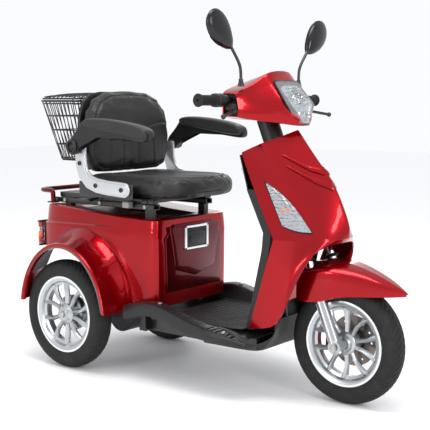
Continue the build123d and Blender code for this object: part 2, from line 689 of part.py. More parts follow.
def arm_brackets():
    """J-shaped side brackets from the seat flanges up to the armrest pivots."""
    outer = [(-300, 662), (-292, 700), (-150, 712), (-84, 742), (-66, 790), (-66, 850), (-20, 850), (-2, 790),
             (-14, 720), (-60, 672), (-130, 652), (-280, 648)]
    parts = []
    for side in (-1, 1):
        plate = side_plate(outer, side * 236.3, side * 250)
        plate += rod((side * 250, arm_pivot_y, arm_pivot_z), (side * 287, arm_pivot_y, arm_pivot_z), 9)
        for y, z in ((-32, 756), (-125, 682), (-252, 675)):
            plate += rod((side * 250, y, z), (side * 254, y, z), 6)
        parts.append(plate)
    return Compound([s for p in parts for s in p.solids()])


def armrest(side):
    outline = [(arm_pivot_y + 27, arm_pivot_z), (arm_pivot_y + 20, arm_pivot_z - 20), (arm_pivot_y, arm_pivot_z - 28),
               (arm_pivot_y - 24, arm_pivot_z - 18), (-118, 850), (-200, 858), (-395, 846), (-412, 862),
               (-404, 898), (-300, 920), (-120, 926), (-88, 900), (arm_pivot_y - 4, 868)]
    arm = side_plate(outline, side * 256, side * 288)
    arm += side_plate([(-118, 880), (-395, 862), (-404, 898), (-300, 920), (-120, 926)], side * 234, side * 256)
    return arm - rod((side * 200, arm_pivot_y, arm_pivot_z), (side * 287.3, arm_pivot_y, arm_pivot_z), 9 + fit)


# Basket

def basket_panel():
    """Wire basket as a tapered tub whose walls have the wires' thickness."""
    def tub(grow, low, high):
        def ring(half, front, rear, z):
            return [(-half - grow, front - grow, z), (half + grow, front - grow, z),
                    (half + grow, rear + grow, z), (-half - grow, rear + grow, z)]
        share = (low - basket_bottom) / (basket_top - basket_bottom)
        half = basket_half_low + (basket_half_top - basket_half_low) * share
        rear = 183 + (basket_rear - 183) * share
        return section_loft([ring(half, basket_front, rear, low),
                             ring(basket_half_top, basket_front, basket_rear, high)])
    return tub(0, basket_bottom, basket_top) - tub(-wire, basket_bottom + wire, basket_top + 0.1)


def basket_lid():
    """Domed wire lid, hinged at the back."""
    points = [(basket_front, basket_top + gap), (basket_front + 20, basket_top + 22), (basket_rear - 30, basket_top + 28),
              (basket_rear - 6, basket_top + 6), (basket_rear - 6, basket_top + gap)]
    lid = side_plate(points, -basket_half_top, basket_half_top)
    inner = [(y + (4 if y < 100 else -4), z - 5) for y, z in points]
    lid -= side_plate(inner, -basket_half_top + 5, basket_half_top - 5)
    return lid


def build():
    """Every node of the machine by name, in stations from the rear axle."""
    nodes = dict(front_wheel())
    for side, word in ((-1, "right"), (1, "left")):
        nodes[f"rear_rim_{word}"], nodes[f"rear_tyre_{word}"] = rear_wheel(side)
        nodes[f"rear_fender_{word}"] = rear_fender(side)
        nodes[f"brake_lever_{word}"] = brake_lever(side)
        nodes[f"mirror_stalk_{word}"] = mirror_stalk(side)
        nodes[f"mirror_head_{word}"] = mirror_head(side)
        nodes[f"armrest_{word}"] = armrest(side)
    nodes.update(
        fork_sliders=fork_sliders(), front_axle=front_axle(), brake_caliper=brake_caliper(),
        front_fender=front_fender(), stanchions=stanchions(), steering_stem=steering_stem(),
        handlebar=handlebar(), grip_left=grip(1, bar_radius), throttle_grip=grip(-1, bar_radius + fit),
        switch_pods=switch_pods(), head_cowl=head_cowl(), headlight_lens=lamp(-2, 8),
        column_cover=column_cover(), horn_button=horn_place * Pos(0, 0, -3) * Cylinder(6, 8),
        indicator_switch=switch_place * Pos(0, 3.5, 0) * Box(8, 8, 9.4), frame_tubes=frame_tubes(),
        head_tube=head_tube(), floor_pan=floor_pan(), belly_cover=belly_cover(), rear_body_shell=rear_body(),
        storage_tub=storage_tub(), box_door=box_door(),
        latch_paddle=latch_paddle(), tail_lights=tail_lights(), front_shield=front_shield(),
        indicator_lenses=Compound([s for side in (-1, 1) for s in indicator(side, -3, 7).solids()]),
        leg_shield_inner=leg_shield(), ignition_key=ignition_key(), battery_pack=battery_pack(),
        motor_controller=motor_controller(), grab_rail=grab_rail(), rear_axle_unit=rear_axle_unit(),
        shock_uppers=shock_uppers(), shock_springs=shock_springs(), seat_slide_rails=slide_rails(),
        seat_base=seat_base(), slide_lever=slide_lever(), seat_cushion=seat_cushion(),
        backrest_shell=backrest_shell(), back_cushion=back_cushion(), arm_brackets=arm_brackets(),
        basket=basket_panel(), basket_lid=basket_lid())
    return nodes


def main():
    os.makedirs("parts", exist_ok=True)
    for name, shape in build().items():
        export_step(Pos(0, frame_shift, 0) * shape, f"parts/{name}.step")


if __name__ == "__main__":
    main()
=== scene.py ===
import bpy
from math import atan2, cos, exp, floor, hypot, pi, radians, sin
import numpy as np
from mathutils import Matrix, Vector


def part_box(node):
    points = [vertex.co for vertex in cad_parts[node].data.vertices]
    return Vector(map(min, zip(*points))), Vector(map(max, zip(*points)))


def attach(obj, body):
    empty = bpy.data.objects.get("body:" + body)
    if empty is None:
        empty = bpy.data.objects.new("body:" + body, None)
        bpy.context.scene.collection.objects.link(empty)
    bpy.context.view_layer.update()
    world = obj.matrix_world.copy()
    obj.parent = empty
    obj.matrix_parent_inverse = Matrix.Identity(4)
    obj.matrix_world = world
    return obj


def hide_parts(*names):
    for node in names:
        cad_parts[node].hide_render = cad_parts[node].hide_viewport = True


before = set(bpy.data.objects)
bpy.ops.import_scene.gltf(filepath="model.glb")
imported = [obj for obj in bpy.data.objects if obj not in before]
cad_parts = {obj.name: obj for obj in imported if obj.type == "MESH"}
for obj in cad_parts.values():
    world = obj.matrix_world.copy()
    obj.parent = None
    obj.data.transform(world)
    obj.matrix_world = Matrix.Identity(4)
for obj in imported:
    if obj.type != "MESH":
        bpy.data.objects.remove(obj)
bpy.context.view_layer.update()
tyreLow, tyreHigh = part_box("rear_tyre_right")
rearAxleY = (tyreLow.y + tyreHigh.y) / 2   # every station below is in millimetres from the rear axle
steerTilt = radians(22.5)
steerFoot = Vector((0, -1012.3, 190.5))


def at(x, y, z):
    return Vector((x / 1000, y / 1000 + rearAxleY, z / 1000))


def onSteering(x, y, z):  # a point in the fork's own leaning frame, to stations
    up, back = Vector((0, sin(steerTilt), cos(steerTilt))), Vector((0, cos(steerTilt), -sin(steerTilt)))
    return steerFoot + Vector((x, 0, 0)) + back * y + up * z


def deselectAll():
    if bpy.context.mode != "OBJECT":
        bpy.ops.object.mode_set(mode="OBJECT")
    bpy.ops.object.select_all(action="DESELECT")


def take(piece):
    deselectAll()
    piece.select_set(True)
    bpy.context.view_layer.objects.active = piece
    return piece


def mix(a, b, t):
    return tuple(a[i] + (b[i] - a[i]) * t for i in range(len(a)))


def tidyMesh(piece, distance=0.00005):
    take(piece)
    bpy.ops.object.mode_set(mode="EDIT")
    bpy.ops.mesh.select_all(action="SELECT")
    bpy.ops.mesh.remove_doubles(threshold=distance)
    bpy.ops.mesh.normals_make_consistent(inside=False)
    bpy.ops.object.mode_set(mode="OBJECT")
    return piece


def addModifier(piece, kind, **settings):
    take(piece)
    modifier = piece.modifiers.new(kind.title(), kind)
    for name, value in settings.items():
        setattr(modifier, name, value)
    bpy.ops.object.modifier_apply(modifier=modifier.name)
    return piece


def smooth(piece, angle=35):
    take(piece)
    bpy.ops.object.shade_smooth_by_angle(angle=radians(angle))
    return piece


def finish(piece, body, look, *nodes, angle=35):
    piece.data.materials.clear()
    piece.data.materials.append(look)
    smooth(piece, angle)
    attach(piece, body)
    if nodes:
        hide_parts(*nodes)
    return piece


def gridSkin(name, rows, closed=False):
    across, along = len(rows[0]), len(rows)
    deselectAll()
    bpy.ops.mesh.primitive_grid_add(x_subdivisions=across - 1, y_subdivisions=along - 1, size=1)
    piece = bpy.context.object
    piece.name = name
    order = sorted(piece.data.vertices, key=lambda v: (round(v.co.y, 4), round(v.co.x, 4)))
    for vertex, point in zip(order, [p for row in rows for p in row]):
        vertex.co = at(*point)
    if closed:
        tidyMesh(piece)
    return piece


def creaseWhere(piece, test, value=1.0):
    layer = (piece.data.attributes.get("crease_edge")
             or piece.data.attributes.new("crease_edge", "FLOAT", "EDGE"))
    for edge in piece.data.edges:
        a, b = (piece.data.vertices[i].co for i in edge.vertices)
        if test(a, b):
            layer.data[edge.index].value = value


def mirrorX(piece, merge=True):
    return addModifier(piece, "MIRROR", use_axis=(True, False, False), use_mirror_merge=merge,
                       merge_threshold=0.0004)


def shell(piece, levels=2, thickness=3, offset=-1, bevel=0):
    if levels:
        addModifier(piece, "SUBSURF", levels=levels, render_levels=levels)
    if thickness:
        addModifier(piece, "SOLIDIFY", thickness=thickness / 1000, offset=offset, use_even_offset=True)
    if bevel:
        addModifier(piece, "BEVEL", width=bevel / 1000, segments=2, limit_method="ANGLE",
                    angle_limit=radians(50))
    return piece


def facing(piece, direction):  # turns an open skin's faces so that most look along the direction
    total = Vector((0, 0, 0))
    for face in piece.data.polygons:
        total += face.normal * face.area
    if total.dot(Vector(direction)) < 0:
        piece.data.flip_normals()
    return piece


def prism(name, outline, low, high, axis="X", bevel=0, segments=3):
    deselectAll()
    bpy.ops.mesh.primitive_circle_add(vertices=len(outline), radius=1, fill_type="NGON")
    piece = bpy.context.object
    piece.name = name
    place = {"X": lambda a, b, c: (c, a, b), "Y": lambda a, b, c: (a, c, b), "Z": lambda a, b,
             c: (a, b, c)}[axis]
    for vertex, (a, b) in zip(piece.data.vertices, outline):
        vertex.co = at(*place(a, b, low))
    move = Vector(place(0, 0, (high - low) / 1000))
    bpy.ops.object.mode_set(mode="EDIT")
    bpy.ops.mesh.select_all(action="SELECT")
    bpy.ops.mesh.extrude_region_move(TRANSFORM_OT_translate={"value": move})
    bpy.ops.mesh.select_all(action="SELECT")
    bpy.ops.mesh.normals_make_consistent(inside=False)
    bpy.ops.object.mode_set(mode="OBJECT")
    if bevel:
        addModifier(piece, "BEVEL", width=bevel / 1000, segments=segments, limit_method="ANGLE",
                    angle_limit=radians(28))
    return piece


def box(name, x0, x1, y0, y1, z0, z1, bevel=0):
    return prism(name, [(x0, y0), (x1, y0), (x1, y1), (x0, y1)], z0, z1, "Z", bevel)


def lathe(name, profile, centre, steps=72, closed=True, axis=(1, 0, 0)):
    deselectAll()
    bpy.ops.mesh.primitive_circle_add(vertices=len(profile), radius=1, fill_type="NOTHING")
    piece = bpy.context.object
    piece.name = name
    along = Vector(axis).normalized()
    out = along.cross(Vector((1, 0, 0)) if abs(along.x) < 0.5 else Vector((0, 1, 0))).normalized()
    middle = at(*centre)
    for vertex, (a, r) in zip(piece.data.vertices, profile):
        vertex.co = middle + along * a / 1000 + out * r / 1000
    bpy.ops.object.mode_set(mode="EDIT")
    if not closed:
        bpy.ops.mesh.select_mode(type="EDGE")
        bpy.ops.mesh.select_all(action="DESELECT")
        bpy.ops.object.mode_set(mode="OBJECT")
        last = {0, len(profile) - 1}
        for edge in piece.data.edges:
            edge.select = set(edge.vertices) == last
        bpy.ops.object.mode_set(mode="EDIT")
        bpy.ops.mesh.delete(type="EDGE_FACE")
        bpy.ops.mesh.select_mode(type="VERT")
    bpy.ops.mesh.select_all(action="SELECT")
    bpy.ops.mesh.spin(steps=steps, angle=2 * pi, center=middle, axis=along)
    bpy.ops.object.mode_set(mode="OBJECT")
    return tidyMesh(piece)


def tubesAlong(name, paths, radius, closed=False, smoothLine=False, sides=3):
    line = bpy.data.curves.new(name, "CURVE")
    line.dimensions = "3D"
    line.bevel_depth, line.bevel_resolution, line.use_fill_caps = radius / 1000, sides, True
    for points in paths:
        spline = line.splines.new("NURBS" if smoothLine else "POLY")
        spline.points.add(len(points) - 1)
        for point, place in zip(spline.points, points):
            point.co = (*at(*place), 1)
        spline.use_cyclic_u = closed
        if smoothLine:
            spline.order_u = 3
            spline.use_endpoint_u = not closed
            spline.resolution_u = 8
    piece = bpy.data.objects.new(name, line)
    bpy.context.scene.collection.objects.link(piece)
    take(piece)
    bpy.ops.object.convert(target="MESH")
    return bpy.context.object


def tubeAlong(name, points, radius, *rest, **more):
    return tubesAlong(name, [points], radius, *rest, **more)


def join(name, pieces):
    deselectAll()
    for one in pieces:
        one.select_set(True)
    bpy.context.view_layer.objects.active = pieces[0]
    bpy.ops.object.join()
    pieces[0].name = name
    return pieces[0]


def copyOf(piece, name, matrix=None):
    new = piece.copy()
    new.data = piece.data.copy()
    new.name = name
    bpy.context.scene.collection.objects.link(new)
    if matrix is not None:
        new.data.transform(matrix)
    return new


def otherSide(piece, name):
    new = copyOf(piece, name, Matrix.Scale(-1, 4, (1, 0, 0)))
    new.data.flip_normals()
    return new


def turnAbout(centre, axis, angle):
    middle = at(*centre)
    return Matrix.Translation(middle) @ Matrix.Rotation(angle, 4, Vector(axis)) @ Matrix.Translation(-middle)


def laidOn(piece, target, offset=2.0):
    return addModifier(piece, "SHRINKWRAP", target=target, wrap_method="NEAREST_SURFACEPOINT",
                       wrap_mode="ABOVE_SURFACE",
                       offset=offset / 1000)


print("materials")


def linear(code):
    parts = [int(code[i:i + 2], 16) / 255 for i in (1, 3, 5)]
    return tuple(c / 12.92 if c <= 0.04045 else ((c + 0.055) / 1.055) ** 2.4 for c in parts) + (1,)


def addNode(tree, kind, settings=None, **links):
    node = tree.nodes.new("ShaderNode" + kind)
    for name, value in (settings or {}).items():
        if name in node.inputs and not hasattr(type(node), name):
            node.inputs[name].default_value = value
        else:
            setattr(node, name, value)
    for name, source in links.items():
        numbered = name[0] == "i" and name[1:].isdigit()   # i0, i1: an input by its place
        target = node.inputs[int(name[1:]) if numbered else name.replace("_", " ")]
        if isinstance(source, tuple):
            source = source[0].outputs[source[1]]
        tree.links.new(source, target)
    return node


def material(name, **sockets):
    made = bpy.data.materials.new(name)
    made.use_nodes = True
    shader = made.node_tree.nodes["Principled BSDF"]
    for key, value in sockets.items():
        shader.inputs[key.replace("_", " ")].default_value = (
            linear(value) if isinstance(value, str) else value)
    shader.name = "shader"
    return made


def places(tree):
    return addNode(tree, "TexCoord")


def perMm(size):  # texture scale for a pattern that repeats about every size millimetres
    return 1000 / size


def ramp(tree, source, low, high, lowColour, highColour):
    node = addNode(tree, "ValToRGB")
    tree.links.new(source, node.inputs[0])
    node.color_ramp.elements[0].position, node.color_ramp.elements[1].position = low, high
    for element, colour in zip(node.color_ramp.elements, (lowColour, highColour)):
        element.color = linear(colour)
    return node


def bumpFrom(made, source, strength, distance):
    tree = made.node_tree
    bump = addNode(tree, "Bump", {"Strength": strength, "Distance": distance / 1000}, Height=source)
    tree.links.new(bump.outputs[0], tree.nodes["shader"].inputs["Normal"])
    return bump


def drive(made, socket, source):
    made.node_tree.links.new(source, made.node_tree.nodes["shader"].inputs[socket])


def candyLacquer(name, deep, bright):
    # red candy coat over a fine metallic base under clear lacquer; the colour drifts slightly over the panel
    made = material(name, Metallic=0.8, Roughness=0.26, Specular_IOR_Level=0.1, Coat_Weight=1.0,
                    Coat_Roughness=0.02,
                    Coat_IOR=1.3)
    tree = made.node_tree
    where = places(tree)
    drift = addNode(tree, "TexNoise", {"Scale": perMm(260), "Detail": 2}, Vector=(where, "Object"))
    depth = ramp(tree, drift.outputs[0], 0.3, 0.7, deep, bright)
    flake = addNode(tree, "TexVoronoi", {"Scale": perMm(0.9)}, Vector=(where, "Object"))
    sparkle = ramp(tree, flake.outputs["Color"], 0.1, 0.95, "#d8d8d8", "#ffffff")
    colour = addNode(tree, "Mix", {"data_type": "RGBA", "blend_type": "MULTIPLY"})
    colour.inputs[0].default_value = 0.5
    tree.links.new(depth.outputs[0], colour.inputs[6])
    tree.links.new(sparkle.outputs[0], colour.inputs[7])
    drive(made, "Base Color", colour.outputs[2])
    peel = addNode(tree, "TexNoise", {"Scale": perMm(14), "Detail": 2}, Vector=(where, "Object"))
    bumpFrom(made, peel.outputs[0], 0.12, 0.12)
    return made


def mouldedPlastic(name, colour, light, rough, grain=0.9, height=0.08):
    # ABS from a spark-eroded mould: a fine pebble that breaks up the shine
    made = material(name, Base_Color=colour, Roughness=rough, Specular_IOR_Level=0.45)
    tree = made.node_tree
    where = places(tree)
    pebble = addNode(tree, "TexNoise", {"Scale": perMm(grain), "Detail": 3}, Vector=(where, "Object"))
    cloud = addNode(tree, "TexNoise", {"Scale": perMm(60), "Detail": 3}, Vector=(where, "Object"))
    drive(made, "Base Color", ramp(tree, cloud.outputs[0], 0.3, 0.75, colour, light).outputs[0])
    worn = addNode(tree, "MapRange", {"From Min": 0.3, "From Max": 0.7, "To Min": rough - 0.06,
                                      "To Max": rough + 0.08},
                   Value=cloud.outputs[0])
    drive(made, "Roughness", worn.outputs[0])
    bumpFrom(made, pebble.outputs[0], 0.35, height)
    return made


def paintedMetal(name, colour, rough, metallic=0.0, coat=0.0, orangePeel=3.0, height=0.05):
    made = material(name, Base_Color=colour, Roughness=rough, Metallic=metallic, Coat_Weight=coat,
                    Coat_Roughness=0.12)
    tree = made.node_tree
    where = places(tree)
    peel = addNode(tree, "TexNoise", {"Scale": perMm(orangePeel), "Detail": 2}, Vector=(where, "Object"))
    bumpFrom(made, peel.outputs[0], 0.25, height)
    vary = addNode(tree, "MapRange", {"From Min": 0.3, "From Max": 0.7, "To Min": rough - 0.05,
                                      "To Max": rough + 0.06},
                   Value=addNode(tree, "TexNoise", {"Scale": perMm(45), "Detail": 4},
                                 Vector=(where, "Object")).outputs[0])
    drive(made, "Roughness", vary.outputs[0])
    return made


def bareMetal(name, colour, rough, stretch=(1, 1, 1), step=1.5, height=0.02):
    made = material(name, Base_Color=colour, Roughness=rough, Metallic=1.0)
    tree = made.node_tree
    where = places(tree)
    turn = addNode(tree, "Mapping", {"Scale": stretch}, Vector=(where, "Object"))
    lines = addNode(tree, "TexNoise", {"Scale": perMm(step), "Detail": 3}, Vector=turn.outputs[0])
    vary = addNode(tree, "MapRange", {"From Min": 0.3, "From Max": 0.7, "To Min": max(rough - 0.04, 0.02),
                                      "To Max": rough + 0.07}, Value=lines.outputs[0])
    drive(made, "Roughness", vary.outputs[0])
    bumpFrom(made, lines.outputs[0], 0.2, height)
    return made


def grainedLeather(name, colour, light):
    # coated leather: small cells with creases between them, worn a little smoother on the high spots
    made = material(name, Roughness=0.44, Specular_IOR_Level=0.5, Sheen_Weight=0.05, Sheen_Roughness=0.4)
    tree = made.node_tree
    where = places(tree)
    cells = addNode(tree, "TexVoronoi", {"Scale": perMm(2.6), "feature": "DISTANCE_TO_EDGE"},
                    Vector=(where, "Object"))
    crease = addNode(tree, "MapRange", {"From Min": 0.0, "From Max": 0.12, "To Min": 0.0, "To Max": 1.0},
                     Value=cells.outputs["Distance"])
    pull = addNode(tree, "TexNoise", {"Scale": perMm(38), "Detail": 4, "Distortion": 0.6},
                   Vector=(where, "Object"))
    height = addNode(tree, "Math", {"operation": "MULTIPLY_ADD"}, i0=pull.outputs[0], i2=crease.outputs[0])
    height.inputs[1].default_value = 2.4
    bumpFrom(made, height.outputs[0], 0.4, 0.45)
    drive(made, "Base Color", ramp(tree, pull.outputs[0], 0.3, 0.75, colour, light).outputs[0])
    drive(made, "Roughness", addNode(tree, "MapRange", {"From Min": 0.0, "From Max": 1.0, "To Min": 0.6,
                                                        "To Max": 0.4},
                                     Value=crease.outputs[0]).outputs[0])
    return made


def mouldedRubber(name, colour, light, rough=0.72):
    # vulcanised rubber: dull, slightly dusty, with the fine matt of the mould
    made = material(name, Roughness=rough, Specular_IOR_Level=0.35)
    tree = made.node_tree
    where = places(tree)
    dust = addNode(tree, "TexNoise", {"Scale": perMm(30), "Detail": 5}, Vector=(where, "Object"))
    fine = addNode(tree, "TexNoise", {"Scale": perMm(1.6), "Detail": 2}, Vector=(where, "Object"))
    drive(made, "Base Color", ramp(tree, dust.outputs[0], 0.35, 0.75, colour, light).outputs[0])
    bumpFrom(made, fine.outputs[0], 0.4, 0.1)
    return made


def ribbedLens(name, colour, rough, step, direction="X", cover=0.3, height=0.5):
    # PMMA lens with moulded flutes on its inside; cover is how much of the light stays in it
    made = material(name, Base_Color=colour, Roughness=rough, Alpha=cover, IOR=1.49, Coat_Weight=1.0,
                    Coat_Roughness=0.02)
    tree = made.node_tree
    where = places(tree)
    flutes = addNode(tree, "TexWave", {"Scale": perMm(step) / (2 * pi), "wave_type": "BANDS",
                                       "bands_direction": direction, "wave_profile": "SIN"},
                     Vector=(where, "Object"))
    bumpFrom(made, flutes.outputs[1], 0.5, height)
    return made


def facetedReflector(name, colour, step, rough=0.08):
    # metallised bowl behind the lens, pressed into steps
    made = material(name, Base_Color=colour, Roughness=rough, Metallic=1.0)
    tree = made.node_tree
    where = places(tree)
    cells = addNode(tree, "TexVoronoi", {"Scale": perMm(step), "distance": "CHEBYCHEV", "Randomness": 0.25},
                    Vector=(where, "Object"))
    bumpFrom(made, cells.outputs["Distance"], 1.0, step * 1.1)
    return made


red = candyLacquer("candyRedLacquerOnAbs", "#98000f", "#a8000d")
# the body's red lacquer made darker: painted shade for the parts under the seat and the basket
shadedRed = candyLacquer("candyRedLacquerPaintedShade", "#5a000b", "#66000c")
blackAbs = mouldedPlastic("mouldedBlackAbs", "#0b0b0c", "#131314", 0.42)
glossBlackAbs = mouldedPlastic("glossBlackAbs", "#08080a", "#0d0d0f", 0.2, 3.0, 0.03)
treadRubber = mouldedPlastic("ribbedFootMatRubber", "#101011", "#1b1b1c", 0.6, 1.4, 0.12)
arch = mouldedPlastic("greyBrownWheelArchPlastic", "#5a4f4a", "#6a5f59", 0.5, 1.6, 0.1)
greyAbs = mouldedPlastic("warmGreyAbs", "#8d8882", "#9c9791", 0.45)
leather = grainedLeather("blackCoatedLeather", "#0c0c0d", "#191919")
piping = grainedLeather("blackPipingLeather", "#08080a", "#121213")
castAlloy = paintedMetal("silverPaintedCastAlloy", "#b9bcbf", 0.3, 0.9, 0.35)
machined = bareMetal("machinedAluminium", "#e3e5e6", 0.14, (1, 1, 1), 1.2)
forkAlloy = bareMetal("castForkAluminium", "#b4b6b8", 0.3, (1, 1, 1), 2.2, 0.05)
chrome = bareMetal("chromePlatedSteel", "#e8eaec", 0.05, (1, 1, 1), 8, 0.004)
zinc = bareMetal("zincPlatedSteel", "#b5b7b4", 0.3, (1, 1, 1), 2.0, 0.03)
discSteel = bareMetal("groundDiscSteel", "#77706c", 0.28, (1, 1, 1), 1.5, 0.03)
silverPaint = paintedMetal("silverPaintedSteel", "#c6c8ca", 0.34, 0.7, 0.4)
framePaint = paintedMetal("blackFramePaint", "#0c0c0d", 0.36, 0.0, 0.3)
wirePaint = paintedMetal("blackPowderCoat", "#09090a", 0.38, 0.0, 0.2, 1.6)
caliperRed = paintedMetal("anodisedRedAluminium", "#9a1015", 0.34, 0.85, 0.2)
tyreRubber = mouldedRubber("tyreRubber", "#141414", "#222222")
gripRubber = mouldedRubber("gripRubber", "#0a0a0a", "#131313", 0.6)
batteryCase = mouldedPlastic("blackBatteryCase", "#0f0f10", "#181819", 0.5)
clearLens = ribbedLens("clearLensPmma", "#e4e8ec", 0.02, 60, "Z", 0.1, 0.05)
fluteLens = ribbedLens("flutedClearPmma", "#a9aeb2", 0.04, 6, "Z", 0.14, 0.9)
amberLens = ribbedLens("amberPmma", "#e8780c", 0.1, 5, "Z", 0.85, 0.3)
redLens = ribbedLens("redPmma", "#c8040c", 0.06, 6, "Z", 0.72, 0.4)
reflector = facetedReflector("metallisedReflector", "#b9bdc1", 11, 0.12)
mirrorGlass = bareMetal("silveredGlass", "#eef0f2", 0.01, (1, 1, 1), 40, 0.002)


print("front shield")
shield = {
    # nose, crease and rear edge at each level, from the column opening down to the fold
    "levels": [((0, -837, 894), (-100, -756, 849), (-170, -728, 821)),
               ((0, -880, 840), (-100, -790, 808), (-175, -748, 780)),
               ((0, -925, 785), (-97, -835, 753), (-178, -778, 720)),
               ((0, -968, 742), (-94, -873, 708), (-180, -806, 663)),
               ((0, -1000, 685), (-90, -915, 658), (-181, -830, 615)),
               ((0, -1027, 625), (-86, -955, 607), (-181, -852, 572)),
               ((0, -1043, 581), (-82, -985, 571), (-180, -862, 553)),
               ((0, -1037, 545), (-80, -1008, 545), (-180, -864, 545))],
    "legEnd": [(-160, -752, 233), (-161, -800, 242), (-161, -872, 255), (-161, -915, 359), (-158, -955, 450),
               (-125, -985, 510), (-60, -1012, 530), (0, -1030, 533)],
    "bulge": 7,
    "wall": 3.5,
}


def shieldRow(nose, crease, rear):
    row = []
    for share in (0, 0.1, 0.25, 0.5, 0.8, 1):
        x, y, z = mix(rear, crease, share)
        out = shield["bulge"] * sin(pi * share) ** 1.2 if 0 < share < 1 else 0
        row.append((x - out * 0.9, y - out * 0.4, z))
    x, y, z = mix(crease, nose, 0.5)
    row += [(x, y - 7, z + 1), nose]
    x, y, z = row[0]
    return [(x + 9, y + 3, z)] + row


shieldRows = [shieldRow(*level) for level in shield["levels"]]
foldRow = shieldRows[-1][1:]
for t in (0.06, 0.3, 0.55, 0.8, 1):
    row = [mix(top, end, t) for top, end in zip(foldRow, shield["legEnd"])]
    x, y, z = row[0]
    shieldRows.append([(x + 9, y + 3, z)] + row)
shieldSkin = gridSkin("frontShieldShell", shieldRows)
mirrorX(shieldSkin)
facing(shieldSkin, (0, -1, 0.3))
foldZ = at(0, 0, 545).z
creaseWhere(shieldSkin, lambda a, b: abs(a.z - foldZ) < 0.0006 and abs(b.z - foldZ) < 0.0006, 0.8)
creaseLine = [at(*level[1]) for level in shield["levels"]]
onCrease = lambda p: any(
    (Vector((abs(p.x), p.y, p.z)) - Vector((abs(q.x), q.y, q.z))).length < 0.003 for q in creaseLine)
noseLine = [at(*level[0]) for level in shield["levels"]]
onNose = lambda p: any((p - q).length < 0.003 for q in noseLine)
creaseWhere(shieldSkin, lambda a, b: onCrease(a) and onCrease(b), 0.85)
creaseWhere(shieldSkin, lambda a, b: onNose(a) and onNose(b), 0.55)
backLine = [at(*row[1]) for row in shieldRows]
onBack = lambda p: any((Vector((-abs(p.x), p.y, p.z)) - q).length < 0.0006 for q in backLine)
creaseWhere(shieldSkin, lambda a, b: onBack(a) and onBack(b), 0.7)
addModifier(shieldSkin, "SUBSURF", levels=3, render_levels=3)
shieldBase = copyOf(shieldSkin, "shieldBase")
shell(shieldSkin, 0, shield["wall"])
finish(shieldSkin, "chassis", red, "front_shield", angle=38)


def strip(name, upper, lower, target, lift, thick,
          steps=14):  # raised band between two lines, laid on a shell
    def along(points, t):
        i = min(int(t * (len(points) - 1)), len(points) - 2)
        return mix(points[i], points[i + 1], t * (len(points) - 1) - i)
    rows = [[along(line, s / steps) for s in range(steps + 1)]
            for line in (upper, [mix(a, b, 0.5) for a, b in zip(upper, lower)], lower)]
    piece = gridSkin(name, rows)
    facing(piece, (0, -1, 0.2))
    laidOn(piece, target, lift)
    shell(piece, 0, thick, 1)
    return piece


chevrons = []
for word, tip, end in (("Upper", (0, -935, 762), (-88, -835, 822)),
                       ("Lower", (0, -962, 716), (-88, -850, 784))):
    middle = (end[0] * 0.45, (tip[1] + end[1]) / 2 - 18, tip[2] + (end[2] - tip[2]) * 0.3)
    upper = [(-end[0], end[1], end[2]), (-middle[0], middle[1], middle[2]), tip, middle, end]
    lower = [(-end[0], end[1] - 2, end[2] - 5), (-middle[0], middle[1] - 8, middle[2] - 17),
             (0, tip[1] - 10, tip[2] - 24),
             (middle[0], middle[1] - 8, middle[2] - 17), (end[0], end[1] - 2, end[2] - 5)]
    chevrons.append(strip("noseChevron" + word, upper, lower, shieldBase, 0.5, 5, 24))
for one in chevrons:
    addModifier(one, "BEVEL", width=0.0015, segments=2, limit_method="ANGLE", angle_limit=radians(40))
    finish(one, "chassis", red)

indicator = {"top": (-143, -800, 728), "low": (-92, -952, 560), "back": (-152, -880, 588), "bulge": 17,
             "heel": 7}


def indicatorPatch(name, shrink, lift, thick, steps=8):
    top, low, back = indicator["top"], indicator["low"], indicator["back"]
    middle = tuple(sum(p[i] for p in (top, low, back)) / 3 for i in range(3))
    top, low, back = (mix(p, middle, shrink) for p in (top, low, back))
    rows = []
    for i in range(steps + 1):
        t = i / steps
        x, y, z = mix(mix(top, low, 0.06), low,
                      t)   # the front edge swells forward, the lower edge hangs a little
        swell = indicator["bulge"] * sin(pi * t ** 0.72)
        front = (x + swell * 0.5, y - swell, z + swell * 0.15)
        row = [mix(mix(mix(top, back, 0.06), back, t), front, s / steps) for s in range(steps + 1)]
        rows.append([(x, y, z - indicator["heel"] * t * sin(pi * s / steps)) for s,
                     (x, y, z) in enumerate(row)])
    piece = gridSkin(name, rows)
    facing(piece, (-1, -0.6, 0))
    laidOn(piece, shieldBase, lift)
    shell(piece, 0, thick, 1)
    return piece


lensBezel = indicatorPatch("indicatorBezelRight", -0.07, 0.3, 1.6)
lensBowl = indicatorPatch("indicatorBowlRight", 0.02, 2.0, 0.4)
lensCover = indicatorPatch("indicatorCoverRight", 0.0, 3.4, 1.8)
spots = []
for t, share in ((0.6, 0.72), (0.66, 0.3)):
    spot = mix(indicator["top"], mix(indicator["back"], indicator["low"], share), t)
    deselectAll()
    bpy.ops.mesh.primitive_uv_sphere_add(segments=16, ring_count=8, radius=0.0075, location=at(*spot))
    one = bpy.context.object
    one.name = "indicatorBulb"
    bpy.ops.object.mode_set(mode="EDIT")
    bpy.ops.transform.resize(value=(0.5, 1, 1))
    bpy.ops.object.mode_set(mode="OBJECT")
    bpy.ops.object.transform_apply(location=True)
    laidOn(one, shieldBase, 2.6)
    spots.append(one)
bulbs = join("indicatorBulbsRight", spots)
for piece, finishWith in ((lensBezel, glossBlackAbs), (lensBowl, reflector), (bulbs, amberLens),
                          (lensCover, fluteLens)):
    left = otherSide(piece, piece.name.replace("Right", "Left"))
    finish(piece, "chassis", finishWith)
    finish(left, "chassis", finishWith)
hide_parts("indicator_lenses")

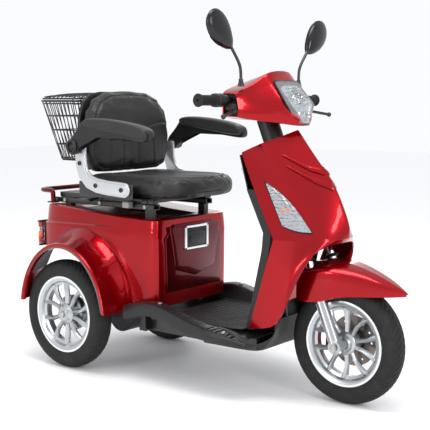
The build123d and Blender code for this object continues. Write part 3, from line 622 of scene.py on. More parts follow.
print("head cowl")
cowl = {
    # x, then rear foot, front foot, lamp foot, lamp waist, lamp head, hood and rear top as (y, z)
    "sections": [(0, (-652, 925), (-862, 906), (-868, 920), (-855, 975), (-783, 1052), (-765, 1090),
                  (-652, 1050)),
                 (36, (-652, 925), (-860, 906), (-866, 922), (-855, 975), (-783, 1052), (-764, 1088),
                  (-652, 1050)),
                 (68, (-652, 926), (-836, 912), (-846, 934), (-852, 972), (-783, 1050), (-758, 1082),
                  (-652, 1049)),
                 (86, (-652, 927), (-812, 917), (-822, 942), (-832, 972), (-772, 1040), (-750, 1068),
                  (-652, 1046)),
                 (125, (-653, 930), (-768, 923), (-776, 946), (-776, 972), (-745, 1018), (-732, 1040),
                  (-653, 1036)),
                 (168, (-655, 934), (-730, 931), (-736, 946), (-738, 966), (-728, 1006), (-720, 1022),
                  (-656, 1024)),
                 (185, (-660, 939), (-720, 937), (-725, 948), (-727, 965), (-719, 998), (-712, 1011),
                  (-662, 1015))],
    "wall": 3,
}
cowlRows = []
for x, a, b, c, waist, d, e, f in cowl["sections"]:
    loop = [a, mix(a, b, 0.5), mix(a, b, 0.93), b, c, waist, mix(waist, d, 0.5), d, e, mix(e, f, 0.25),
            mix(e, f, 0.7), f,
            mix(f, a, 0.5), a]
    cowlRows.append([(-x, y, z) for y, z in loop])
cowlSkin = gridSkin("headCowlShell", cowlRows, closed=False)
mirrorX(cowlSkin)
tidyMesh(cowlSkin)


def nearLine(points, reach=0.002):
    line = [at(*p) for p in points]
    return lambda a, b: all(
        any((Vector((-abs(p.x), p.y, p.z)) - q).length < reach for q in line) for p in (a, b))


for index, value in ((3, 0.8), (7, 0.75), (8, 0.9), (4, 0.6), (0, 0.6), (11, 0.6)):
    creaseWhere(cowlSkin, nearLine([row[index] for row in cowlRows]), value)
creaseWhere(cowlSkin, nearLine(cowlRows[-1], 0.0006), 1.0)
creaseWhere(cowlSkin, nearLine(cowlRows[3][3:9], 0.0006), 0.45)
shell(cowlSkin, 3, cowl["wall"])
finish(cowlSkin, "steering", red, "head_cowl", angle=40)

# black sheets set just inside the cowl's open ends: painted shade of the handlebar openings
cowlEndShade = []
for x in (-166, 166):
    _, a, b, c, waist, d, e, f = cowl["sections"][-2]
    loop = [a, b, c, waist, d, e, f]
    cy, cz = sum(p[0] for p in loop) / 7, sum(p[1] for p in loop) / 7
    loop = [(cy + (y - cy) * 0.955, cz + (z - cz) * 0.955) for y, z in loop]
    cowlEndShade.append(prism("cowlEndShade", loop, x - 3, x + 3, "X", 2))
barOpeningShade = join("handlebarOpeningShadeSheet", cowlEndShade)
finish(barOpeningShade, "steering", blackAbs)

lamp = {"waist": (-855, 975), "foot": (-869, 914), "head": (-784, 1053),
        "half": (36, 80, 67)}   # half widths at the foot, waist and head of the lens


def lampPatch(name, out, inset, crown, thick):
    foot, waist, head = lamp["foot"], lamp["waist"], lamp["head"]
    rows = []
    for t in (0, 0.25, 0.5, 0.75, 1):
        rows.append(((mix(foot, waist, t)), lamp["half"][0] + (lamp["half"][1] - lamp["half"][0]) * t))
    for t in (0.2, 0.4, 0.6, 0.8, 1):
        rows.append(((mix(waist, head, t)), lamp["half"][1] + (lamp["half"][2] - lamp["half"][1]) * t))
    made = []
    for k, ((y, z), half) in enumerate(rows):
        share = k / (len(rows) - 1)
        line = []
        for s in range(-6, 7):
            u = s / 6
            swell = crown * (1 - u * u) * sin(pi * min(max(share, 0.04), 0.96))
            line.append(((half - inset) * u, y - out - swell + abs(u) ** 2.2 * 20 * (1 - share * 0.8),
                         z + swell * 0.35 + (inset if k == 0 else 0) * 0.8 - (inset if k == 9 else 0) * 0.8))
        made.append(line)
    piece = gridSkin(name, made)
    facing(piece, (0, -1, 0.5))
    return shell(piece, 1, thick, 0)


lampCover = lampPatch("headlightCover", 5.6, 0, 4, 2.2)
lampBowl = lampPatch("headlightBowl", 2.9, 3, 1, 0.8)
lampRim = lampPatch("headlightSurround", 1.0, -3.5, 0, 2.5)
finish(lampRim, "steering", glossBlackAbs)
finish(lampBowl, "steering", reflector)
finish(lampCover, "steering", clearLens, "headlight_lens")
lampEyes = []
for x, y, z, r, lean in ((0, -841, 1004, 36, 0.8), (0, -867, 941, 15, 0.25)):
    rings = [(-6, 0.5), (-6, r * 0.3), (1, r * 0.34), (2, r * 0.5), (1, r * 0.66), (2.5, r * 0.82), (3.5, r),
             (0, r + 1), (-9, r + 1),
             (-9, 0.5)]
    lampEyes.append(lathe("eye", rings, (x, y, z), 40, True, (0, -1, lean)))
finish(join("headlightDishes", lampEyes), "steering", reflector)

print("front fender")
fender = {
    # y, half width, crown, shoulder and lower edge at each station, from the beak back
    "stations": [(-1256, 3, 388, 385, 380), (-1238, 19, 400, 394, 379), (-1205, 41, 419, 406, 377),
                 (-1150, 60, 443, 424, 374), (-1090, 78, 463, 440, 371), (-1040, 92, 472, 446, 362),
                 (-1000, 97, 474, 446, 346), (-960, 98, 469, 443, 340), (-925, 97, 461, 436, 338),
                 (-906, 94, 455, 428, 341)],
    "wall": 3,
}
rows = []
for y, half, crown, shoulder, low in fender["stations"]:
    rows.append([(0, y, crown + 1), (-half * 0.3, y + 1, crown + 1.5), (-half * 0.42, y + 2, crown - 1),
                 (-half * 0.8, y + 5, (crown + shoulder) / 2 + 2), (-half * 0.97, y + 8, shoulder),
                 (-half, y + 9, (shoulder + low) / 2), (-half + 1, y + 9, low), (-half + 6, y + 9, low - 1)])
fenderSkin = gridSkin("frontFenderShell", rows)
mirrorX(fenderSkin)
facing(fenderSkin, (0, 0, 1))
ridge = [row[1] for row in rows]
creaseWhere(fenderSkin, nearLine(ridge), 0.8)
creaseWhere(fenderSkin, nearLine([row[4] for row in rows]), 0.55)
creaseWhere(fenderSkin, nearLine([row[6] for row in rows]), 0.9)
shell(fenderSkin, 3, fender["wall"])
finish(fenderSkin, "fork_lower", red, "front_fender", angle=40)
flapRows = [[(x, y, z - abs(x) * 0.12) for x in (-49, -40, -20, 0, 20, 40, 49)]
            for y, z in ((-914, 461), (-886, 438), (-853, 402), (-838, 364), (-826, 325))]
flap = gridSkin("frontFenderFlap", flapRows)
facing(flap, (0, 0.5, 1))
shell(flap, 2, 3)
finish(flap, "fork_lower", red)
collars = [lathe("collar", [(-5, 14.4), (-5, 22), (-2, 24), (4, 21), (6, 17), (6, 14.4)],
                 onSteering(side * 72, -30, 291), 36, True,
                 (0, sin(steerTilt), cos(steerTilt))) for side in (-1, 1)]
finish(join("forkGaiterCollars", collars), "fork_lower", gripRubber)

print("belly cover")
belly = {"rows": [((0, -814, 262), (-92, -822, 262), (-150, -852, 268), (-160, -862, 262)),
                  ((0, -814, 228), (-92, -822, 228), (-150, -856, 232), (-162, -868, 228)),
                  ((0, -810, 186), (-90, -816, 186), (-150, -826, 184), (-163, -824, 182)),
                  ((0, -800, 158), (-90, -800, 158), (-148, -798, 158), (-165, -790, 166)),
                  ((0, -740, 152), (-90, -740, 152), (-150, -740, 152), (-168, -736, 162)),
                  ((0, -565, 151), (-90, -565, 151), (-150, -565, 151), (-169, -563, 160))],
         "wall": 3}
bellyRows = []
for row in belly["rows"]:
    x, y, z = row[-1]
    bellyRows.append([*row, (x, y + 4, z + 18 if z < 200 else z)])
bellySkin = gridSkin("bellyShell", bellyRows)
mirrorX(bellySkin)
facing(bellySkin, (0, -0.6, -1))
shell(bellySkin, 2, belly["wall"])
finish(bellySkin, "chassis", blackAbs, "belly_cover")


print("wheels")
wheelSize = {"radius": 202, "rimWidth": 62, "blades": 10, "treadPitch": 56, "steps": 640, "grooveDepth": 3.2,
             "grooveHalf": 3.0, "grooveSpan": (3, 35)}


def makeTyre(name, centre, handed):
    outline = []
    for x, r in ((27, 129), (29, 134), (30.5, 143), (35, 149), (38.5, 157), (40, 168), (39, 178), (36, 186),
                 (31, 192.5),
                 (27, 195.8), (23, 198), (19, 199.6), (15, 200.7), (11, 201.4), (7, 201.8), (3.5, 202)):
        outline.append((x, r))
    outline = outline + [(0, 202)] + [(-x, r) for x, r in reversed(outline)]
    outline += [(-20, 131), (-20, 188), (20, 188), (20, 131)]
    tyre = lathe(name, outline, centre, wheelSize["steps"])
    middle = at(*centre)
    pitch = 2 * pi / wheelSize["treadPitch"]
    for vertex in tyre.data.vertices:
        y, z = vertex.co.y - middle.y, vertex.co.z - middle.z
        r, x = hypot(y, z) * 1000, (vertex.co.x - middle.x) * 1000 * handed
        if r < 191.5:
            continue
        angle = atan2(z, y)
        sink = 0
        inner, outer = wheelSize["grooveSpan"]
        if inner < abs(x) < outer:   # curved cuts that sweep back, the two sides half a pitch apart
            turn = angle / pitch + (0.5 if x > 0 else 0) - (abs(x) / 32) ** 1.6 * 1.5
            gap = abs(turn - floor(turn) - 0.5) * pitch * wheelSize["radius"]
            sink = max(0, 1 - (gap / wheelSize["grooveHalf"]) ** 4)
            sink *= min(1, (abs(x) - inner) / 3) * min(1, (outer - abs(x)) / 3)
        if sink > 0:
            scale = (r - wheelSize["grooveDepth"] * sink) / r
            vertex.co.y, vertex.co.z = middle.y + y * scale, middle.z + z * scale
    return tyre


def makeRim(name, centre, outer, hubHalf, bore):
    half = wheelSize["rimWidth"] / 2
    ring = lathe(name, [(-half, 142), (-half + 1.5, 143.2), (-half + 3.6, 142.5), (-half + 4.4, 139),
                        (-half + 4.4, 129.5),
                        (-half + 6, 127.4), (-15, 126.6), (-11, 117), (11, 117), (15, 126.6),
                        (half - 6, 127.4),
                        (half - 4.4, 129.5), (half - 4.4, 139), (half - 3.6, 142.5), (half - 1.5, 143.2),
                        (half, 142),
                        (half, 135), (half - 3, 128), (half - 6, 123.5), (15, 119), (11, 110.5), (-11, 110.5),
                        (-15, 119),
                        (-half + 6, 123.5), (-half + 3, 128), (-half, 135)], (0, 0, 0), 128)
    hub = lathe("hub", [(-hubHalf, bore), (-hubHalf, 24), (-hubHalf + 2, 26), (-24, 30), (-20, 37), (-17, 39),
                        (17, 39),
                        (20, 37), (24, 30), (hubHalf - 2, 26), (hubHalf, 24), (hubHalf, bore)], (0, 0, 0), 64)
    sections = []
    # radius, sideways kink, half width, face and ridge depth of one blade, from the hub out
    for r, kink, wide, face, edge in ((30, 0, 11, -9, -17), (48, -1.5, 8, -8, -19), (72, -4, 8.5, -8, -22),
                                      (92, -1, 9.5, -8, -23), (108, 3, 12, -7, -22), (118, 5, 17, -6, -20)):
        sections.append([(-2, kink - wide * 0.8, r), (face, kink - wide, r), (edge, kink + wide * 0.15, r),
                         (face, kink + wide, r), (-2, kink + wide * 0.8, r), (-2, kink - wide * 0.8, r)])
    blade = gridSkin("blade", sections)
    tidyMesh(blade)
    addModifier(blade, "BEVEL", width=0.0011, segments=2, limit_method="ANGLE", angle_limit=radians(22))
    blades = []
    for k in range(wheelSize["blades"]):
        one = copyOf(blade, "blade", turnAbout((0, 0, 0), (1, 0, 0), 2 * pi * k / wheelSize["blades"]))
        if k % 2:
            one.data.transform(turnAbout((0, 0, 0), (1, 0, 0), -2 * pi * k / wheelSize["blades"]))
            one.data.transform(Matrix.Translation(at(0, 0, 0)) @ Matrix.Scale(-1, 4, (0, 1, 0))
                               @ Matrix.Translation(-at(0, 0, 0)))
            one.data.transform(turnAbout((0, 0, 0), (1, 0, 0), 2 * pi * k / wheelSize["blades"]))
            one.data.flip_normals()
        blades.append(one)
    bpy.data.objects.remove(blade)
    valve = lathe("valve", [(-14, 0.5), (-14, 4), (10, 4), (10, 2.5), (18, 2.5), (18, 0.5)], (-4, 0, 112), 16,
                  True,
                  (-0.4, 0, -1))
    rim = join(name, [ring, hub, *blades, valve])
    if outer > 0:
        rim.data.transform(Matrix.Scale(-1, 4, (1, 0, 0)))
        rim.data.flip_normals()
    rim.data.transform(Matrix.Translation(at(*centre) - at(0, 0, 0)))
    return rim


def brightLip(rim, centre):  # the outer flange is turned bright after painting
    rim.data.materials.append(machined)
    middle = at(*centre)
    for face in rim.data.polygons:
        spot = face.center - middle
        if hypot(spot.y, spot.z) > 0.1345 and abs(spot.x) > 0.0255:
            face.material_index = 1


def hubParts(name, centre, outer, far):
    side = outer
    cap = lathe(name, [(side * (far - 2), 0.5), (side * (far - 2), 21), (side * (far + 1), 21),
                       (side * (far + 2), 19),
                       (side * (far + 2), 12), (side * (far + 9), 11), (side * (far + 10), 9.5),
                       (side * (far + 10), 0.5)], centre, 48)
    bolts = [cap]
    for k in range(5):
        a = 2 * pi * k / 5
        bolts.append(lathe("bolt", [(side * (far - 4), 0.3), (side * (far - 4), 3.6),
                                    (side * (far - 0.5), 3.6),
                                    (side * (far - 0.5), 0.3)],
                           (centre[0], centre[1] + 27 * cos(a), centre[2] + 27 * sin(a)), 12))
    return join(name, bolts)


wheels = (("front", "front_wheel", (0, -1040, 202), -1, 35, 8.1),
          ("rearRight", "wheel_right", (-275, 0, 202), -1, 30, 12),
          ("rearLeft", "wheel_left", (275, 0, 202), 1, 30, 12))
nodeWords = {"front": ("front_tyre", "front_rim"), "rearRight": ("rear_tyre_right", "rear_rim_right"),
             "rearLeft": ("rear_tyre_left", "rear_rim_left")}
for word, body, centre, outer, hubHalf, bore in wheels:
    tyreNode, rimNode = nodeWords[word]
    tyre = makeTyre(word + "Tyre", centre, -outer)
    finish(tyre, body, tyreRubber, tyreNode, angle=50)
    rim = makeRim(word + "CastWheel", centre, outer, hubHalf, bore)
    finish(rim, body, castAlloy, rimNode, angle=30)
    brightLip(rim, centre)
    if word != "front":
        cap = hubParts(word + "HubNut", centre, outer, 30)
        finish(cap, body, zinc)
        drum = lathe(word + "BrakeDrum", [(-outer * 31, 58), (-outer * 31, 65), (-outer * 28, 66),
                                          (-outer * 8, 66),
                                          (-outer * 5, 64), (-outer * 5, 39), (-outer * 9, 39),
                                          (-outer * 9, 58)],
                     centre, 64)
        shaft = lathe("shaft", [(-outer * 89, 0.5), (-outer * 89, 12), (outer * 30, 12), (outer * 30, 0.5)],
                      centre, 32)
        finish(join(word + "BrakeDrum", [drum, shaft]), body, forkAlloy)

print("fork")
fluting = []
for side in (-1, 1):
    for k in range(3):   # raised ribs down the outer face of each slider
        a = -0.9 + k * 0.9
        top, low = onSteering(side * (72 + 18.6 * cos(a)), -30 - 18.6 * sin(a), 150), \
            onSteering(side * (72 + 18.6 * cos(a)), -30 - 18.6 * sin(a), 10)
        fluting.append(tubeAlong("rib", [tuple(top), tuple(low)], 2.2))
    fluting.append(lathe("sealRing", [(-4, 19.1), (-4, 21.5), (4, 21.5), (5, 20.5), (5, 19.1)],
                         tuple(onSteering(side * 72, -30, 196)), 40, True,
                         (0, sin(steerTilt), cos(steerTilt))))
    foot = onSteering(side * 72, -30, 0)
    fluting.append(lathe("axleBoss", [(-17, 9), (-17, 21), (-15, 23), (17, 23), (19, 21), (19, 9)],
                         (side * 72, -1040, 202), 40))
finish(join("sliderRibsAndClamps", fluting), "fork_lower", forkAlloy)
bolts = []
for side in (-1, 1):
    bolts.append(lathe("axleHead", [(side * 19, 0.5), (side * 19, 10.5), (side * 27, 10), (side * 28, 8.5),
                                    (side * 28, 5),
                                    (side * 23, 5), (side * 23, 0.5)], (side * 72, -1040, 202), 6))
    bolts.append(lathe("pinchBolt", [(-3, 0.3), (-3, 5), (4, 5), (4, 2.5), (1, 2.5), (1, 0.3)],
                       (side * 90, -1046, 184), 6, True, (side, 0, 0)))
finish(join("forkBolts", bolts), "fork_lower", zinc)


print("rear body")
rearBody = {
    # plan path from the front middle round to the rear middle, with the foot, crease and top at each station
    "path": [(0, -377, 257, 420, 569), (-100, -377, 257, 420, 569), (-176, -376, 257, 500, 569),
             (-194, -368, 257, 520, 570),
             (-201, -345, 257, 531, 570), (-204, -300, 257, 536, 571), (-214, -245, 260, 537, 573),
             (-219, -170, 330, 536, 577), (-220, -90, 420, 535, 582), (-219, 0, 440, 533, 587),
             (-217, 90, 434, 530, 592),
             (-212, 160, 432, 527, 595), (-196, 203, 432, 525, 594), (-165, 218, 432, 524, 592),
             (-110, 224, 432, 524, 592),
             (0, 226, 432, 524, 592)],
    "flare": 9, "wall": 3,
}
rows = []
for k in range(8):
    row = []
    for x, y, foot, crease, top in rearBody["path"]:
        out = rearBody["flare"] if y > -230 else rearBody["flare"] * 0.3
        inX, inY = (x / 220 if x else 0), (1 if y > 150 else (-1 if y < -360 else 0))
        levels = [(foot, out), ((foot + crease) / 2, out * 0.9), (crease - 3, out), (crease + 2, 2),
                  ((crease + top) / 2, 0),
                  (top - 3, -3), (top + 1, -9), (top + 2, -26)]
        z, push = levels[k]
        if y < -300 and k == 0:
            push = 0
        row.append((x + inX * push, y + inY * push * (0.7 if y < 0 else 1), z))
    rows.append(row)
rows.append([(x * 0.35, y + (40 if y < -300 else (-40 if y > 150 else 0)), top + 3) for x, y, _, _,
             top in rearBody["path"]])
bodySkin = gridSkin("rearBodyShell", rows)
for vertex in bodySkin.data.vertices:
    if abs(vertex.co.x) < 0.0004:
        vertex.co.x = 0
mirrorX(bodySkin)
facing(bodySkin, (0, 0, 1))
for index, value in ((2, 0.85), (3, 0.75), (5, 0.5)):
    line = [at(*p) for p in rows[index]]
    close = lambda p: any((Vector((-abs(p.x), p.y, p.z)) - q).length < 0.0008 for q in line)
    creaseWhere(bodySkin, lambda a, b: close(a) and close(b), value)
shell(bodySkin, 2, rearBody["wall"])
finish(bodySkin, "chassis", red, "rear_body_shell", angle=38)

print("seat box front")
frontPanel = prism("boxDoorPanel", [(-150, 306), (150, 306), (158, 500), (112, 548), (-112, 548),
                                    (-158, 500)],
                   -383, -377, "Y", 2.5)
raised = prism("raised", [(0, 352), (108, 384), (140, 541), (-140, 541), (-108, 384)], -388, -382, "Y", 3.5)
boxFront = join("boxDoorPanel", [frontPanel, raised])
# door panel in the darkened red: painted shade under the seat
finish(boxFront, "door", shadedRed, "box_door")
bezelParts = [box("bar", -66, 66, -395, -386, 452, 461, 2), box("bar", -66, 66, -395, -386, 531, 540, 2),
              box("bar", -66, -55, -395, -386, 452, 540, 2), box("bar", 55, 66, -395, -386, 452, 540, 2)]
finish(join("latchBezel", bezelParts), "door", chrome)
finish(box("latchWell", -56, 56, -389.2, -386, 460, 532, 1), "door", blackAbs)
paddle = box("latchPaddleCover", -53, 53, -393, -389.6, 464, 516, 1.5)
slot = box("latchFinger", -40, 40, -396, -392, 474, 504, 2)
finish(join("latchPaddleCover", [paddle, slot]), "latch", glossBlackAbs, "latch_paddle")

print("rear fenders")
fenderShape = {"centre": (-25, 202), "half": (225, 270), "start": radians(8), "end": radians(176),
               "steps": 22}
cross = [  # across from the body's side to the lip: x, and how much larger than the lip's arch it is there
    (-214, 1.19), (-228, 1.185), (-246, 1.14), (-268, 1.085), (-296, 1.045), (-322, 1.02), (-336, 1.012),
         (-341, 0.995),
    (-341, 0.96), (-334, 0.945), (-322, 0.94)]
cy, cz = fenderShape["centre"]
ry, rz = fenderShape["half"]
rows = []
for k in range(fenderShape["steps"] + 1):
    angle = fenderShape["start"] + (fenderShape["end"] - fenderShape["start"]) * k / fenderShape["steps"]
    row = []
    for i, (x, grow) in enumerate(cross):
        grown = 1 + (grow - 1) * (0.35 + 0.65 * sin(angle)) if grow > 1 else grow
        y, z = cy + ry * grown * cos(angle), cz + rz * grown * sin(angle)
        row.append((x, y, max(z, 236 if i < 7 else 238)))
    rows.append(row)
for word, side in (("Right", 1), ("Left", -1)):
    skin = gridSkin("rearFender" + word, rows)
    facing(skin, (0, 0, 1))
    lipLine = [at(*row[7]) for row in rows]
    stepLine = [at(*row[1]) for row in rows]
    for line, value in ((lipLine, 0.6), (stepLine, 0.7)):
        near = lambda p: any((p - q).length < 0.0006 for q in line)
        creaseWhere(skin, lambda a, b: near(a) and near(b), value)
    shell(skin, 2, 3)
    lining = gridSkin("archLining" + word, [[(x, cy + (y - cy) * 0.982, cz + (z - cz) * 0.982)
                                             for x, y, z in (row[0], row[2], row[4], row[6], row[8])]
                                            for row in rows[3:]])
    facing(lining, (0, 0, 1))
    shell(lining, 2, 2.5)
    if side < 0:
        for one in (skin, lining):
            one.data.transform(Matrix.Scale(-1, 4, (1, 0, 0)))
            one.data.flip_normals()
    finish(skin, "chassis", red, "rear_fender_" + word.lower(), angle=38)
    finish(lining, "chassis", arch)

print("tail lights")
tail = {"segments": ((436, 462, redLens), (463.5, 482, amberLens), (483.5, 499, clearLens),
                                      (500.5, 520, redLens))}
outline = [(-100, 226), (-204, 226), (-214, 234), (-200, 252), (-180, 258), (-100, 256)]
for number, (z0, z1, look) in enumerate(tail["segments"]):
    cut = prism(f"tailLens{number}Right", [(x, y) for x, y in outline], z0, z1, "Z", 1.5)
    other = otherSide(cut, f"tailLens{number}Left")
    finish(cut, "chassis", look)
    finish(other, "chassis", look)
    if number == 0:
        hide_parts("tail_lights")
bowl = prism("tailBowlRight", [(-104, 225.5), (-200, 225.5), (-208, 234), (-197, 248), (-180, 253),
                               (-104, 251)], 438, 518, "Z", 1)
finish(otherSide(bowl, "tailBowlLeft"), "chassis", reflector)
finish(bowl, "chassis", reflector)
frameParts = [box("tailFrameRight", -218, -94, 222, 236, 521, 527, 2),
              box("tailFrameLow", -214, -94, 222, 236, 428, 435, 2)]
tailFrame = join("tailFrameRight", frameParts)
finish(otherSide(tailFrame, "tailFrameLeft"), "chassis", glossBlackAbs)
finish(tailFrame, "chassis", glossBlackAbs)
plate = prism("rearPanel", [(-92, 438), (92, 438), (88, 516), (-88, 516)], 226, 232, "Y", 2.5)
finish(plate, "chassis", glossBlackAbs)


print("foot well")
footWell = {
    "top": [(-785, 199), (-760, 207), (-700, 222), (-640, 234), (-563, 249), (-500, 267), (-430, 285),
            (-389, 291),
            (-340, 284), (-274, 268)],
    "half": 270, "floor": 232, "frontFloor": 214,
}
rows = []
for y, z in footWell["top"]:
    floorZ = footWell["floor"] if y > -755 else footWell["frontFloor"]
    taper = 44 * max(0, min(1, (-700 - y) / 85)) ** 1.3
    z = max(z, floorZ + 1) if y > -640 else z + (4 if y > -755 else 0)
    edge = footWell["half"] - taper
    low = z - 46 if y < -300 else z - 52
    low = max(low, 190 if y < -700 else 196)
    rows.append([(0, y, floorZ), (-70, y, floorZ), (-140, y, floorZ), (-196, y, floorZ),
                 (-203, y, floorZ + 1),
                 (-208, y, max(z - 4, floorZ + 2)), (-214, y, z), (-min(236, edge - 14), y, z + 1),
                 (-edge + 10, y, z),
                 (-edge + 2, y, z - 5), (-edge, y, z - 14), (-edge + 2, y, low), (-edge + 12, y, low - 3)])
floorSkin = gridSkin("footWellTray", rows)
mirrorX(floorSkin)
facing(floorSkin, (0, 0, 1))
shell(floorSkin, 2, 3)
finish(floorSkin, "chassis", blackAbs, "floor_pan", angle=40)


def shoulderHeight(y):
    stations = footWell["top"]
    for (y0, z0), (y1, z1) in zip(stations, stations[1:]):
        if y0 <= y <= y1:
            return z0 + (z1 - z0) * (y - y0) / (y1 - y0)
    return stations[-1][1]


ribs = []
for side in (-1, 1):
    for k in range(12):
        y = -735 + k * 17
        z = shoulderHeight(y) + (4 if y < -640 else 1)
        slope = (shoulderHeight(y + 5) - shoulderHeight(y - 5)) / 10
        ribs.append(prism("rib", [(y - 4, z - 2 - 4 * slope), (y + 4, z - 2 + 4 * slope), (y + 2.5, z + 2.4),
                                  (y - 2.5, z + 2.2)],
                          side * 216, side * (252 if y > -690 else 236), "X", 0.8, 1))
finish(join("shoulderRibs", ribs), "chassis", blackAbs)
mat = prism("footMat", [(-176, -740), (176, -740), (190, -700), (190, -400), (176, -392), (-176, -392),
                        (-190, -400),
                        (-190, -700)], 231.5, 235, "Z", 1.2)
lines = [mat]
for k in range(-7, 8):
    x = k * 23
    lines.append(prism("line", [(x - 4, 234.6), (x + 4, 234.6), (x + 2.4, 237), (x - 2.4, 237)],
                       -722 if abs(k) < 7 else -690,
                       -408, "Y", 0))
finish(join("footMat", lines), "chassis", treadRubber)
boltHeads = [lathe("bolt", [(-2, 0.4), (-2, 9), (1, 9), (3, 6), (3, 0.4)], (x, y, z), 20, True, (0, 0, 1))
             for x, y, z in ((-232, -700, 227), (232, -700, 227), (-232, -420, 289), (232, -420, 289))]
finish(join("footWellBolts", boltHeads), "chassis", zinc)


print("seat")


def swollen(piece, voxel, pressure, cap, frames=20):  # the stuffed cover swells and settles
    take(piece)
    piece.data.remesh_voxel_size = voxel / 1000
    bpy.ops.object.voxel_remesh()
    rest = [v.co.copy() for v in piece.data.vertices]
    cloth = piece.modifiers.new("Cloth", "CLOTH")
    cloth.settings.quality = 5
    cloth.settings.mass = 0.25
    cloth.settings.tension_stiffness = cloth.settings.compression_stiffness = 18
    cloth.settings.bending_stiffness = 2.5
    cloth.settings.use_pressure = True
    cloth.settings.uniform_pressure_force = pressure
    cloth.settings.effector_weights.gravity = 0
    cloth.point_cache.frame_start, cloth.point_cache.frame_end = 1, frames
    for frameNumber in range(1, frames + 1):
        bpy.context.scene.frame_set(frameNumber)
    take(piece)
    bpy.ops.object.modifier_apply(modifier=cloth.name)
    bpy.context.scene.frame_set(1)
    for vertex, old in zip(piece.data.vertices, rest):
        move = vertex.co - old
        if move.length > cap / 1000:
            vertex.co = old + move * (cap / 1000 / move.length)
    return piece


def keepInside(piece, low, high):  # flat where it rests on something: eased back to these planes
    lowest, highest = at(*low), at(*high)
    for vertex in piece.data.vertices:
        for axis in range(3):
            edge = min(max(vertex.co[axis], lowest[axis]), highest[axis])
            vertex.co[axis] = edge + (vertex.co[axis] - edge) * 0.05 if vertex.co[axis] != edge else edge
    return piece


def smoothed(piece, times):  # lets the small creases of the settling relax
    return addModifier(piece, "SMOOTH", factor=0.5, iterations=times)


def sewnLine(piece, points, depth, width, pull):  # sinks a seam into the cover, with the puckers beside it
    line = np.array([at(*p) for p in points])
    push = np.array(pull, float)
    count = len(piece.data.vertices)
    place, normal = np.empty(count * 3), np.empty(count * 3)
    piece.data.vertices.foreach_get("co", place)
    piece.data.vertices.foreach_get("normal", normal)
    place, normal = place.reshape(-1, 3), normal.reshape(-1, 3)
    best, along, travelled = np.full(count, 1.0), np.zeros(count), 0.0
    for a, b in zip(line, line[1:]):
        span = b - a
        span = span - push * (span @ push)
        reach = place - a
        reach = reach - np.outer(reach @ push, push)
        t = np.clip(reach @ span / max(span @ span, 1e-9), 0, 1)
        d = np.linalg.norm(reach - np.outer(t, span), axis=1)
        closer = d < best
        best[closer], along[closer] = d[closer], travelled + np.linalg.norm(span) * t[closer]
        travelled += np.linalg.norm(span)
    share = best / (width / 1000)
    pucker = 1 + 0.25 * np.sin(along * 2 * pi / 0.013)
    sink = depth / 1000 * (np.exp(-(share * 3.0) ** 2) * pucker + 0.22 * (1 - share) ** 2)
    sink[(share >= 1) | (normal @ push > -0.25)] = 0
    piece.data.vertices.foreach_set("co", (place + np.outer(sink, push)).ravel())
    piece.data.update()


seat = {"half": 203, "front": -466, "rear": 0, "cord": 664, "voxel": 5, "pressure": 2.2, "cap": 9}


def loftLoops(name, loops):  # a closed form through flat loops, ends filled
    piece = gridSkin(name, [loop + [loop[0]] for loop in loops])
    tidyMesh(piece)
    take(piece)
    bpy.ops.object.mode_set(mode="EDIT")
    bpy.ops.mesh.select_all(action="SELECT")
    bpy.ops.mesh.fill_holes(sides=0)
    bpy.ops.mesh.normals_make_consistent(inside=False)
    bpy.ops.object.mode_set(mode="OBJECT")
    return piece


def seatOutline(shrink):
    half, front, rear = seat["half"] - shrink, seat["front"] + shrink, seat["rear"] - shrink
    points = []
    steps = 14
    for k in range(steps + 1):   # rounded front, wider than a half circle
        a = pi * (1 + k / steps)
        points.append((half * abs(cos(a)) ** 0.62 * (1 if cos(a) > 0 else -1),
                       front + 150 + 150 * abs(sin(a)) ** 0.8 * -1))
    points += [(half + 2, -200), (half + 2, -90), (half, rear - 46), (half - 16, rear - 12),
               (half - 50, rear)]
    points += [(0, rear + 2), (-half + 50, rear), (-half + 16, rear - 12), (-half, rear - 46),
               (-half - 2, -90),
               (-half - 2, -200)]
    return points


levels = ((648, 8), (652, 0), (701, -2), (709, 7), (711, 34))
cushion = loftLoops("seatCushion", [[(x, y, z) for x, y in seatOutline(shrink)] for z, shrink in levels])
swollen(cushion, seat["voxel"], seat["pressure"], seat["cap"])
keepInside(cushion, (-216, -480, 646), (216, 12, 720))
smoothed(cushion, 6)
addModifier(cushion, "SUBSURF", levels=1, render_levels=1)
bpy.context.view_layer.update()
for vertex in cushion.data.vertices:   # the dip that a sitter leaves, deeper towards the back
    spot = (vertex.co - at(0, -170, 715)) * 1000
    if vertex.co.z > at(0, 0, 690).z:
        vertex.co.z -= 0.009 * exp(-(spot.x / 120) ** 2 - (spot.y / 130) ** 2)
seamLines = [[(x * 0.55, -30, 712), (x * 0.75, -160, 712), (x * 0.95, -290, 712), (x * 0.9, -400, 712),
              (x * 0.6, -450, 712)]
             for x in (-130, 0, 130)]
seamLines.append([(-196, -60, 712), (-193, -200, 712), (-186, -310, 712), (-150, -392, 712), (-80, -436, 712),
                  (0, -448, 712),
                  (80, -436, 712), (150, -392, 712), (186, -310, 712), (193, -200, 712), (196, -60, 712)])
for line in seamLines:
    sewnLine(cushion, line, 3.6, 12, (0, 0, -1))
finish(cushion, "seat", leather, "seat_cushion", angle=60)
bpy.context.view_layer.update()
cordPoints = []
for x, y in seatOutline(-6):
    out = Vector((x, y + 200, 0)).normalized()
    hit, place = cushion.ray_cast(at(x, y, seat["cord"]) + out * 0.06, -out, distance=0.2)[:2]
    spot = place if hit else at(x, y, seat["cord"])
    cordPoints.append((spot.x * 1000, (spot.y - rearAxleY) * 1000, spot.z * 1000))
beading = tubeAlong("seatPiping", cordPoints, 2.4, closed=True, smoothLine=True)
finish(beading, "seat", piping)

